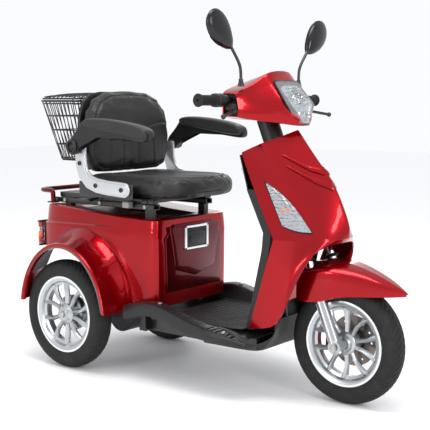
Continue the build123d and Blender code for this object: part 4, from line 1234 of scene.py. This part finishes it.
print("back cushion")
back = {"voxel": 5, "pressure": 2.2, "cap": 9}
backPath = [(-158, 727), (0, 723), (158, 727), (192, 744), (208, 790), (212, 850), (209, 902), (194, 952),
            (160, 993),
            (102, 1017), (0, 1023), (-102, 1017), (-160, 993), (-194, 952), (-209, 902), (-212, 850),
            (-208, 790), (-192, 744)]
middleX, middleZ = 0, 872


def backLoop(shrink, y):
    loop = []
    for x, z in backPath:
        reach = hypot(x - middleX, z - middleZ)
        scale = (reach - shrink) / reach
        side = abs(x) / 200
        loop.append((x * scale, y - 12 * side ** 2.5,
                     middleZ + (z - middleZ) * scale))   # wraps forward a little at the sides
    return loop


backPad = loftLoops("backCushion", [backLoop(s, y) for s, y in
                                    ((10, 2), (-3, -4), (-5, -42), (4, -54), (52, -60))])
swollen(backPad, back["voxel"], back["pressure"], back["cap"])
keepInside(backPad, (-219, -74, 716), (219, 9, 1036))
smoothed(backPad, 6)
addModifier(backPad, "SUBSURF", levels=1, render_levels=1)
for vertex in backPad.data.vertices:
    spot = (vertex.co - at(0, -60, 800)) * 1000
    if vertex.co.y < at(0, -30, 0).y:
        vertex.co.y += 0.006 * exp(-(spot.x / 110) ** 2 - (spot.z / 70) ** 2)
into = (0, 1, 0)
sweepLine = [(-196, -60, 905), (-150, -60, 905), (-90, -60, 893), (-30, -60, 868), (0, -60, 860),
             (30, -60, 868), (90, -60, 893),
             (150, -60, 905), (196, -60, 905)]
sewnLine(backPad, sweepLine, 4.2, 13, into)
sewnLine(backPad, [(-120, -60, 842), (0, -60, 836), (120, -60, 842)], 2.6, 10, into)
for x in (-118, -40, 40, 118):
    sewnLine(backPad, [(x, -60, 836), (x * 1.03, -60, 780), (x, -60, 735)], 3.2, 11, into)
edgeLine = [(x * 0.93, -60, middleZ + (z - middleZ) * 0.92) for x, z in backPath]
sewnLine(backPad, edgeLine + [edgeLine[0]], 3.4, 11, into)
finish(backPad, "seat", leather, "back_cushion", angle=60)

hull = prism("backShell", [(x, z) for x, z in (
    (-150, 730), (150, 730), (184, 746), (200, 800), (203, 860), (198, 930), (180, 985), (146, 1013),
    (90, 1023), (-90, 1023), (-146, 1013), (-180, 985), (-198, 930), (-203, 860), (-200, 800),
    (-184, 746))], 8, 21, "Y", 5)
lugs = [box("lug", s * 178, s * 235, -28, 20, 788, 838, 5) for s in (-1, 1)]
bars = [box("bar", s * 84, s * 96, 20, 41, 770, 960, 3) for s in (-1, 1)]
ribsBack = [prism("rib", [(x - 2, 21), (x + 2, 21), (x + 1.4, 24), (x - 1.4, 24)], 770, 980,
                  "Z") for x in (-140, -60, -30, 0, 30, 60, 140)]
finish(join("backShell", [hull, *lugs, *bars, *ribsBack]), "seat", blackAbs, "backrest_shell")

print("armrests")
armSide = [(-22, 805), (-30, 797), (-45, 794), (-62, 799), (-72, 812), (-88, 836), (-112, 858), (-150, 868),
           (-230, 866),
           (-330, 853), (-392, 846), (-406, 850), (-411, 862), (-408, 882), (-396, 894), (-330, 910),
           (-230, 922), (-150, 926),
           (-104, 923), (-84, 910), (-62, 880), (-36, 855), (-22, 842), (-17, 823)]
padSide = [(-104, 892), (-160, 886), (-300, 866), (-392, 856), (-408, 866), (-407, 884), (-394, 898),
           (-330, 913), (-230, 925),
           (-150, 929), (-106, 926), (-92, 912)]


def swept(name, outline, stations):  # a side outline carried across, drawn in at each station
    turnIn = -1 if signedArea(outline) > 0 else 1
    loops = []
    for x, shrink in stations:
        loop = []
        for i, (y, z) in enumerate(outline):
            before, after = outline[i - 1], outline[(i + 1) % len(outline)]
            ty, tz = after[0] - before[0], after[1] - before[1]
            move = turnIn * shrink / hypot(ty, tz)
            loop.append((x, y + tz * move, z - ty * move))
        loops.append(loop)
    piece = loftLoops(name, loops)
    return addModifier(piece, "SUBSURF", levels=2, render_levels=2)


def signedArea(outline):
    return sum(a[0] * b[1] - b[0] * a[1] for a, b in zip(outline, outline[1:] + outline[:1]))


for word, side in (("Right", -1), ("Left", 1)):
    body = "arm_" + word.lower()
    arm = swept("armBeam" + word, armSide, [(side * x, s) for x,
                                            s in ((258, 10), (256.5, 4), (259, 0), (284, 0), (287.5, 4),
                                                  (287.8, 12))])
    tidyMesh(arm)
    finish(arm, body, blackAbs, "armrest_" + word.lower(), angle=50)
    pad = swept("armPad" + word, padSide, [(side * x, s) for x,
                                           s in ((236, 16), (235, 8), (238, 1), (270, 0), (287, 2), (290, 9),
                                                 (289, 17))])
    tidyMesh(pad)
    finish(pad, body, leather, angle=60)
    cap = lathe("armPivotCap" + word, [(0, 0.4), (0, 26), (3, 27), (8, 26), (11, 23), (12, 19), (10, 17),
                                       (4, 15), (3, 0.4)],
                (side * 286, -45, 823), 56, True, (side, 0, 0))
    inner = lathe("button", [(0, 0.4), (0, 12), (3, 12), (5, 9), (6, 0.4)], (side * 289, -45, 823), 40, True,
                  (side, 0, 0))
    finish(join("armPivotCap" + word, [cap, inner]), body, blackAbs)

print("side brackets")
bracketLine = [(-42, 826), (-42, 790), (-44, 762), (-56, 724), (-86, 696), (-125, 684), (-180, 678),
               (-262, 674)]


def bracketPlate(name, wide, x0, x1):
    left, right = [], []
    for i, (y, z) in enumerate(bracketLine):
        a, b = bracketLine[max(i - 1, 0)], bracketLine[min(i + 1, len(bracketLine) - 1)]
        ty, tz = b[0] - a[0], b[1] - a[1]
        size = hypot(ty, tz)
        left.append((y - tz / size * wide, z + ty / size * wide))
        right.append((y + tz / size * wide, z - ty / size * wide))
    (y0, z0), (y1, z1) = bracketLine[0], bracketLine[-1]
    ends = [(y1 + wide * cos(a), z1 + wide * sin(a))
            for a in (radians(d) for d in (250, 225, 200, 180, 160, 135, 110))]
    first = (left[-1][1] > right[-1][1])
    path = left + (list(reversed(ends)) if first else ends) + list(reversed(right))
    return prism(name, path, x0, x1, "X", 3.5)


for word, side in (("Right", -1), ("Left", 1)):
    plate = bracketPlate("armBracket" + word, 27, side * 237, side * 247)
    raised = bracketPlate("raised", 20, side * 246, side * 250)
    made = join("armBracket" + word, [plate, raised])
    finish(made, "seat", silverPaint)
    if side < 0:
        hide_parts("arm_brackets")
    bolts = [lathe("bolt", [(-2, 0.4), (-2, 8.5), (2, 8.5), (4, 6.5), (4, 3.6), (1.5, 3.2), (1.5, 0.4)],
                   (side * 251, y, z), 28,
                   True, (side, 0, 0)) for y, z in ((-44, 762), (-125, 684), (-254, 675))]
    finish(join("bracketBolts" + word, bolts), "seat", framePaint)
    pivot = lathe("armPivotPin" + word, [(-12, 0.4), (-12, 8.9), (37, 8.9), (37, 0.4)],
                  (side * 250, -45, 823), 32, True,
                  (side, 0, 0))
    finish(pivot, "seat", zinc)


print("basket")
basket = {"rim": 4.2, "hoop": 2.3, "upright": 1.9, "top": (200, 42, 237, 988),
          "low": (150, 42, 183, 762)}


def ringPath(t, round=26, drop=0):  # the basket's plan outline at a share t of its height
    half = basket["low"][0] + (basket["top"][0] - basket["low"][0]) * t
    y0, y1 = 44.5, basket["low"][2] + (basket["top"][2] - basket["low"][2]) * t - 2
    half -= 2.5
    z = basket["low"][3] + (basket["top"][3] - basket["low"][3]) * t
    points = []
    for cx, cy, start in ((half - round, y1 - round, 0), (-half + round, y1 - round, 90),
                          (-half + round, y0 + round, 180),
                          (half - round, y0 + round, 270)):
        for k in range(5):
            a = radians(start + 90 * k / 4)
            points.append((cx + round * cos(a), cy + round * sin(a), z + drop))
    return points


def alongRing(path, share):
    total = [0]
    count = len(path)
    for i in range(count):
        a, b = path[i], path[(i + 1) % count]
        total.append(total[-1] + hypot(b[0] - a[0], b[1] - a[1]))
    want = share * total[-1]
    for i in range(count):
        if total[i + 1] >= want:
            a, b = path[i], path[(i + 1) % count]
            return mix(a, b, (want - total[i]) / max(total[i + 1] - total[i], 1e-6))
    return path[0]


wires = [tubeAlong("rim", ringPath(1.0, 30), basket["rim"], True),
         tubeAlong("rim2", ringPath(0.955, 30), basket["hoop"], True)]
wires.append(tubesAlong("hoops", [ringPath(t, 26) for t in (0.03, 0.27, 0.51, 0.75)], basket["hoop"], True,
                        sides=2))
uprights = 54
lines = []
for k in range(uprights):
    share = k / uprights
    points = [alongRing(ringPath(t, 28), share) for t in (1.0, 0.75, 0.51, 0.27, 0.08)]
    foot = alongRing(ringPath(0.0, 24), share)
    inner = alongRing([(x * 0.94, 113 + (y - 113) * 0.88, z) for x, y, z in ringPath(0.0, 20)], share)
    lines.append([*points, (foot[0] * 0.99, 113 + (foot[1] - 113) * 0.97, foot[2] + 3),
                  (inner[0], inner[1], inner[2] - 0.5)])
wires.append(tubesAlong("uprights", lines, basket["upright"], sides=1))
wires.append(tubesAlong("floorWires", [[(-138 + k * 19.7, 54, 761.5),
                                        (-138 + k * 19.7, 172, 761.5)] for k in range(15)], 1.9,
                        sides=1))
wires.append(tubesAlong("floorBars", [[(-142, y, 764), (142, y, 764)] for y in (66, 92, 118, 144, 166)], 2.2,
                        sides=1))
for s in (-1, 1):
    wires.append(tubeAlong("hook", [(s * 90, 44, 900), (s * 90, 42.8, 960), (s * 90, 44, 984)], 3.2))
basketBody = join("basketWires", wires)
finish(basketBody, "seat", wirePaint, "basket", angle=60)
clips = [box("clip", s * 74, s * 106, 40.5, 50, 872, 892, 2) for s in (-1, 1)]
finish(join("basketClips", clips), "seat", blackAbs)

lidWires = []
lidRing = [(x * 0.985, 44 + (y - 44) * 0.985, 997) for x, y, z in ringPath(1.0, 30)]
lidWires.append(tubeAlong("lidRim", lidRing, 3.4, True))


def lidHeight(x, y):
    return 997 + 19 * max(0, 1 - (x / 200) ** 2) ** 0.5 * max(0, 1 - ((y - 139) / 98) ** 2) ** 0.6


lines = []
for k in range(1, 18):
    x = -196 + k * 21.8
    inset = 8 if abs(x) > 172 else 0
    lines.append([(x, y, lidHeight(x, y)) for y in (47 + inset, 70, 100, 139, 175, 205, 230 - inset)])
lidWires.append(tubesAlong("lidWires", lines, 1.9, sides=1))
lidWires.append(tubesAlong("lidBars", [[(x, y, lidHeight(x, y) + 3)
                                        for x in (-194, -160, -110, -55, 0, 55, 110, 160, 194)]
                                       for y in (84, 126, 168, 206)], 2.2, sides=1))
for s in (-1, 1):
    lidWires.append(tubeAlong("hingeLoop", [(s * 120 - 9, 52, 998), (s * 120 - 7, 44, 997),
                                            (s * 120 + 7, 44, 997),
                                            (s * 120 + 9, 52, 998)], 2.4))
lidWires.append(tubeAlong("latch", [(-22, 222, 1006), (-22, 234, 998), (-20, 236, 975), (20, 236, 975),
                                    (22, 234, 998),
                                    (22, 222, 1006)], 2.6))
lidBody = join("basketLidWires", lidWires)
finish(lidBody, "lid", wirePaint, "basket_lid", angle=60)

print("under the seat")
railParts = []
for s in (-1, 1):
    channel = prism("channel", [(s * (148 - 18), 600), (s * (148 + 18), 600), (s * (148 + 18), 619),
                                (s * (148 + 13), 619),
                                (s * (148 + 13), 604), (s * (148 - 13), 604), (s * (148 - 13), 619),
                                (s * (148 - 18), 619)],
                    -330, 187, "Y", 0)
    railParts.append(channel)
slideChannels = join("slideChannels", railParts)
addModifier(slideChannels, "BEVEL", width=0.0008, segments=2, limit_method="ANGLE", angle_limit=radians(40))
finish(slideChannels, "chassis", framePaint, "seat_slide_rails")
bolts = []
for s in (-1, 1):
    for y in (-290, -60, 130):
        bolts.append(lathe("bolt", [(0, 0.4), (0, 8), (4, 7.4), (4, 4), (2, 3.4), (2, 0.4)],
                           (s * 166.2, y, 610), 6, True, (s, 0, 0)))
finish(join("slideBolts", bolts), "chassis", zinc)
basePlates = [box("pan", -232, 232, -336, -24, 640, 645, 2), box("brace", -168, 168, -300, -262, 621, 640, 2),
              box("brace2", -168, 168, -70, -32, 621, 640, 2),
              box("tongue", -128, 128, -40, 162, 633, 640, 2)]
for s in (-1, 1):
    basePlates += [box("slider", s * 133, s * 163, -328, 163, 620.6, 640, 3),
                   box("flange", s * 231, s * 236, -296, -24, 640, 696, 2)]
finish(join("seatPanPlates", basePlates), "seat", framePaint, "seat_base")
seatBolts = [lathe("bolt", [(0, 0.4), (0, 7.5), (4, 7), (4, 4), (2, 3.4), (2, 0.4)], (s * 163, y, 630), 6,
                   True, (s, 0, 0))
             for s in (-1, 1) for y in (-282, -50)]
finish(join("seatPanBolts", seatBolts), "seat", zinc)
finish(box("greyStop", -198, -171.5, -238, -206, 604, 628, 4), "seat", greyAbs)
lever = [box("leverBar", -210, -167, -52, -38, 623, 630, 2),
         box("leverPaddle", -228, -197, -66, -4, 620, 627.5, 3)]
finish(join("seatSlideLever", lever), "seat_lever", framePaint, "slide_lever")

print("grab rail")
railPath = [(-179, 184, 600), (-179, 184, 634), (-179, 190, 643), (-179, 236, 643), (-170, 256, 643),
            (-150, 258, 643),
            (0, 258, 643), (150, 258, 643), (170, 256, 643), (179, 236, 643), (179, 190, 643),
            (179, 184, 634), (179, 184, 600)]
tube = tubeAlong("grabRail", railPath, 9.6, smoothLine=True, sides=5)
pads = [box("pad", s * 162, s * 196, 168, 200, 597, 603, 2) for s in (-1, 1)]
grab = join("grabRail", [tube, *pads])
# grab rail in the darkened red: painted shade, the rail itself being body red
finish(grab, "chassis", shadedRed, "grab_rail", angle=60)


print("mirrors")
mirrorSpec = {"ball": (222, -722, 1164), "lean": radians(45), "long": 76, "short": 48, "deep": 21}
for word, side in (("right", -1), ("left", 1)):
    bx, by, bz = mirrorSpec["ball"]
    centre = (side * (bx + 50), by, bz + 46)
    deselectAll()
    bpy.ops.mesh.primitive_uv_sphere_add(segments=48, ring_count=28, radius=1)
    head = bpy.context.object
    head.name = "mirrorHousing" + word.title()
    long, short, deep = mirrorSpec["long"], mirrorSpec["short"], mirrorSpec["deep"]
    for vertex in head.data.vertices:
        u, v, w = vertex.co
        taper = 1 + 0.16 * u - 0.1 * (1 - u) ** 2 * 0.5        # narrower towards the stalk
        point = Vector((long * u, deep * w if w < 0 else deep * 0.55 * w ** 0.6 if w > 0 else 0,
                        short * v * taper))
        a = mirrorSpec["lean"]
        vertex.co = at(centre[0] + side * (point.x * cos(a) - point.z * sin(a)), centre[1] + point.y,
                       centre[2] + point.x * sin(a) + point.z * cos(a))
    tidyMesh(head)
    neckPath = [(side * (bx + 2), by, bz + 3), (side * (bx + 14), by - 1, bz + 15),
                (side * (bx + 24), by - 2, bz + 25)]
    neck = tubeAlong("neck", neckPath, 9)
    head = join(head.name, [head, neck])
    finish(head, "mirror_" + word, glossBlackAbs, "mirror_head_" + word, angle=50)
    glassRows = []
    for k in range(9):
        r = k / 8 * 0.9
        ring = []
        for j in range(41):
            a = 2 * pi * j / 40
            u, v = r * cos(a), r * sin(a)
            taper = 1 + 0.16 * u - 0.1 * (1 - u) ** 2 * 0.5
            px, pz = long * u, short * v * taper
            lean = mirrorSpec["lean"]
            ring.append((centre[0] + side * (px * cos(lean) - pz * sin(lean)),
                         centre[1] + 11.2 + 0.8 * (1 - r * r),
                         centre[2] + px * sin(lean) + pz * cos(lean)))
        glassRows.append(ring)
    glass = gridSkin("mirrorGlass" + word.title(), glassRows)
    tidyMesh(glass)
    facing(glass, (0, 1, 0))
    shell(glass, 0, 2, 1)
    finish(glass, "mirror_" + word, mirrorGlass)
    stalkPath = [(side * 166, by, 1048), (side * 166, by, 1080), (side * 172, by, 1105),
                 (side * 196, by, 1136),
                 (side * bx, by, bz)]
    stalk = tubeAlong("stalk", stalkPath, 5.2, smoothLine=True)
    base = lathe("base", [(0, 0.4), (0, 11), (8, 10.5), (12, 8.5), (16, 8.5), (20, 6), (20, 0.4)],
                 (side * 166, by, 1035), 32, True,
                 (0, 0, 1))
    nut = lathe("nut", [(0, 0.4), (0, 8.4), (7, 8.4), (7, 0.4)], (side * 166, by, 1053), 6, True, (0, 0, 1))
    deselectAll()
    bpy.ops.mesh.primitive_uv_sphere_add(segments=20, ring_count=12, radius=0.0085,
                                         location=at(side * bx, by, bz))
    ball = bpy.context.object
    bpy.ops.object.transform_apply(location=True)
    made = join("mirrorStalk" + word.title(), [stalk, base, nut, ball])
    finish(made, "stalk_" + word, framePaint, "mirror_stalk_" + word, angle=50)

print("handlebar")
barY, barZ = -680.9, 990.6
for word, side, node, body in (("Right", -1, "throttle_grip", "throttle"),
                               ("Left", 1, "grip_left", "steering")):
    profile = [(252, 11.2), (252, 21), (256, 21.5), (258, 18)]
    for k in range(11):
        x = 260 + k * 6
        profile += [(x, 15.6), (x + 1.2, 17), (x + 4, 17), (x + 5, 15.6)]
    profile += [(328, 17), (330, 21), (334, 21.5), (336, 19.5), (336, 4), (331, 4), (331, 11.2)]
    sleeve = lathe("barGrip" + word, [(side * x, r) for x, r in profile], (0, barY, barZ), 56)
    finish(sleeve, body, gripRubber, node, angle=40)
podParts = []
for side in (-1, 1):
    podParts.append(lathe("pod", [(side * 216, 11), (side * 216, 20), (side * 219, 22.5), (side * 246, 22.5),
                                  (side * 249, 20),
                                  (side * 249, 11)], (0, barY, barZ), 48))
    podParts.append(lathe("clamp", [(side * 191, 11), (side * 191, 16.5), (side * 193, 18), (side * 212, 18),
                                    (side * 214, 16.5),
                                    (side * 214, 11)], (0, barY, barZ), 40))
    podParts.append(box("arm", side * 193, side * 211, barY - 46, barY - 12, barZ - 31, barZ - 12, 3))
pods = join("switchPods", podParts)
finish(pods, "steering", blackAbs, "switch_pods")
for word, side in (("right", -1), ("left", 1)):
    z = barZ - 36
    blade = tubeAlong("blade", [(side * 200, barY - 40, z), (side * 214, barY - 42, z),
                                (side * 246, barY - 56, z - 5),
                                (side * 280, barY - 70, z - 11), (side * 304, barY - 80, z - 15)], 5.4,
                      smoothLine=True)
    eye = lathe("eye", [(-4.5, 4.2), (-4.5, 9), (-3, 10.5), (3, 10.5), (4.5, 9), (4.5, 4.2)],
                (side * 202, barY - 38, z), 32, True,
                (0, 0, 1))
    deselectAll()
    bpy.ops.mesh.primitive_uv_sphere_add(segments=20, ring_count=12, radius=0.0085,
                                         location=at(side * 306, barY - 80, z - 15))
    tip = bpy.context.object
    bpy.ops.object.transform_apply(location=True)
    made = join("brakeLever" + word.title(), [blade, eye, tip])
    finish(made, "lever_" + word, framePaint, "brake_lever_" + word, angle=50)
hoses = []
for s in (-1, 1):
    hoses.append(tubeAlong("hose", [(s * 192, barY - 30, barZ - 22), (s * 176, barY - 34, barZ - 26),
                                    (s * 158, barY - 18, barZ - 24),
                                    (s * 140, barY + 6, barZ - 30), (s * 120, barY + 14, barZ - 40)], 3.2,
                           smoothLine=True))
cables = join("brakeCables", hoses)
finish(cables, "steering", gripRubber)


print("carried-over metalwork")
nodeFinish = {
    "frame_tubes": framePaint, "head_tube": framePaint, "steering_stem": framePaint, "column_cover": blackAbs,
    "stanchions": chrome, "fork_sliders": forkAlloy, "front_axle": zinc, "brake_disc": discSteel,
    "brake_caliper": caliperRed, "handlebar": framePaint, "horn_button": greyAbs, "indicator_switch": greyAbs,
    "leg_shield_inner": blackAbs, "ignition_key": chrome, "battery_pack": batteryCase,
              "motor_controller": silverPaint,
    "storage_tub": blackAbs, "rear_axle_unit": framePaint, "shock_uppers": framePaint, "shock_springs": zinc,
}
for node, look in nodeFinish.items():
    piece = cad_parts[node]
    piece.data.materials.clear()
    piece.data.materials.append(look)


print("stage")
bpy.data.objects.remove(shieldBase)
deselectAll()
bpy.ops.mesh.primitive_plane_add(size=1)
ground = bpy.context.object
ground.name = "paleFloor"
for vertex, (x, y) in zip(ground.data.vertices, ((-14, -14), (14, -14), (-14, 14), (14, 14))):
    vertex.co = (x, y, 0)
paper = material("paleStudioPaper", Base_Color="#fafafa", Roughness=0.85, Specular_IOR_Level=0.2)
fibre = addNode(paper.node_tree, "TexNoise", {"Scale": perMm(25), "Detail": 2},
                Vector=(places(paper.node_tree), "Object"))
drive(paper, "Base Color", ramp(paper.node_tree, fibre.outputs[0], 0.2, 0.8, "#f8f8f8", "#fdfdfd").outputs[0])
ground.data.materials.append(paper)

world = bpy.data.worlds.new("studioAir")
bpy.context.scene.world = world
world.use_nodes = True
world.node_tree.nodes["Background"].inputs[0].default_value = linear("#fbfcff")
world.node_tree.nodes["Background"].inputs[1].default_value = 1.0


def softBox(name, place, aim, width, height, power):
    light = bpy.data.lights.new(name, "AREA")
    light.shape, light.size, light.size_y, light.energy = "RECTANGLE", width, height, power
    lamp = bpy.data.objects.new(name, light)
    bpy.context.scene.collection.objects.link(lamp)
    lamp.location = place
    lamp.rotation_mode = "QUATERNION"
    lamp.rotation_quaternion = (Vector(aim) - Vector(place)).to_track_quat("-Z", "Y")
    return lamp


softBox("overheadBox", (-0.6, -0.4, 3.4), (0, 0, 0.3), 1.9, 1.1, 50)
softBox("frontBox", (-1.2, -4.0, 1.9), (0, -0.3, 0.6), 0.7, 1.9, 44)
softBox("sideBox", (-4.2, 0.6, 1.7), (0, 0.1, 0.6), 0.8, 1.9, 44)
softBox("farBox", (3.4, 1.6, 2.2), (0, 0, 0.6), 0.9, 1.4, 16)

camera = bpy.data.cameras.new("studioCamera")
camera.lens, camera.sensor_width = 80.8, 36
cameraObject = bpy.data.objects.new("studioCamera", camera)
bpy.context.scene.collection.objects.link(cameraObject)
cameraObject.location = (-2.6773, -2.1577, 0.9907)
cameraObject.rotation_mode = "QUATERNION"
cameraObject.rotation_quaternion = Vector((0.77094, 0.62588, -0.11806)).to_track_quat("-Z", "Y")
camera.clip_start, camera.clip_end = 0.05, 60
bpy.context.scene.camera = cameraObject
bpy.context.scene.view_settings.view_transform = "Standard"

bpy.context.view_layer.update()
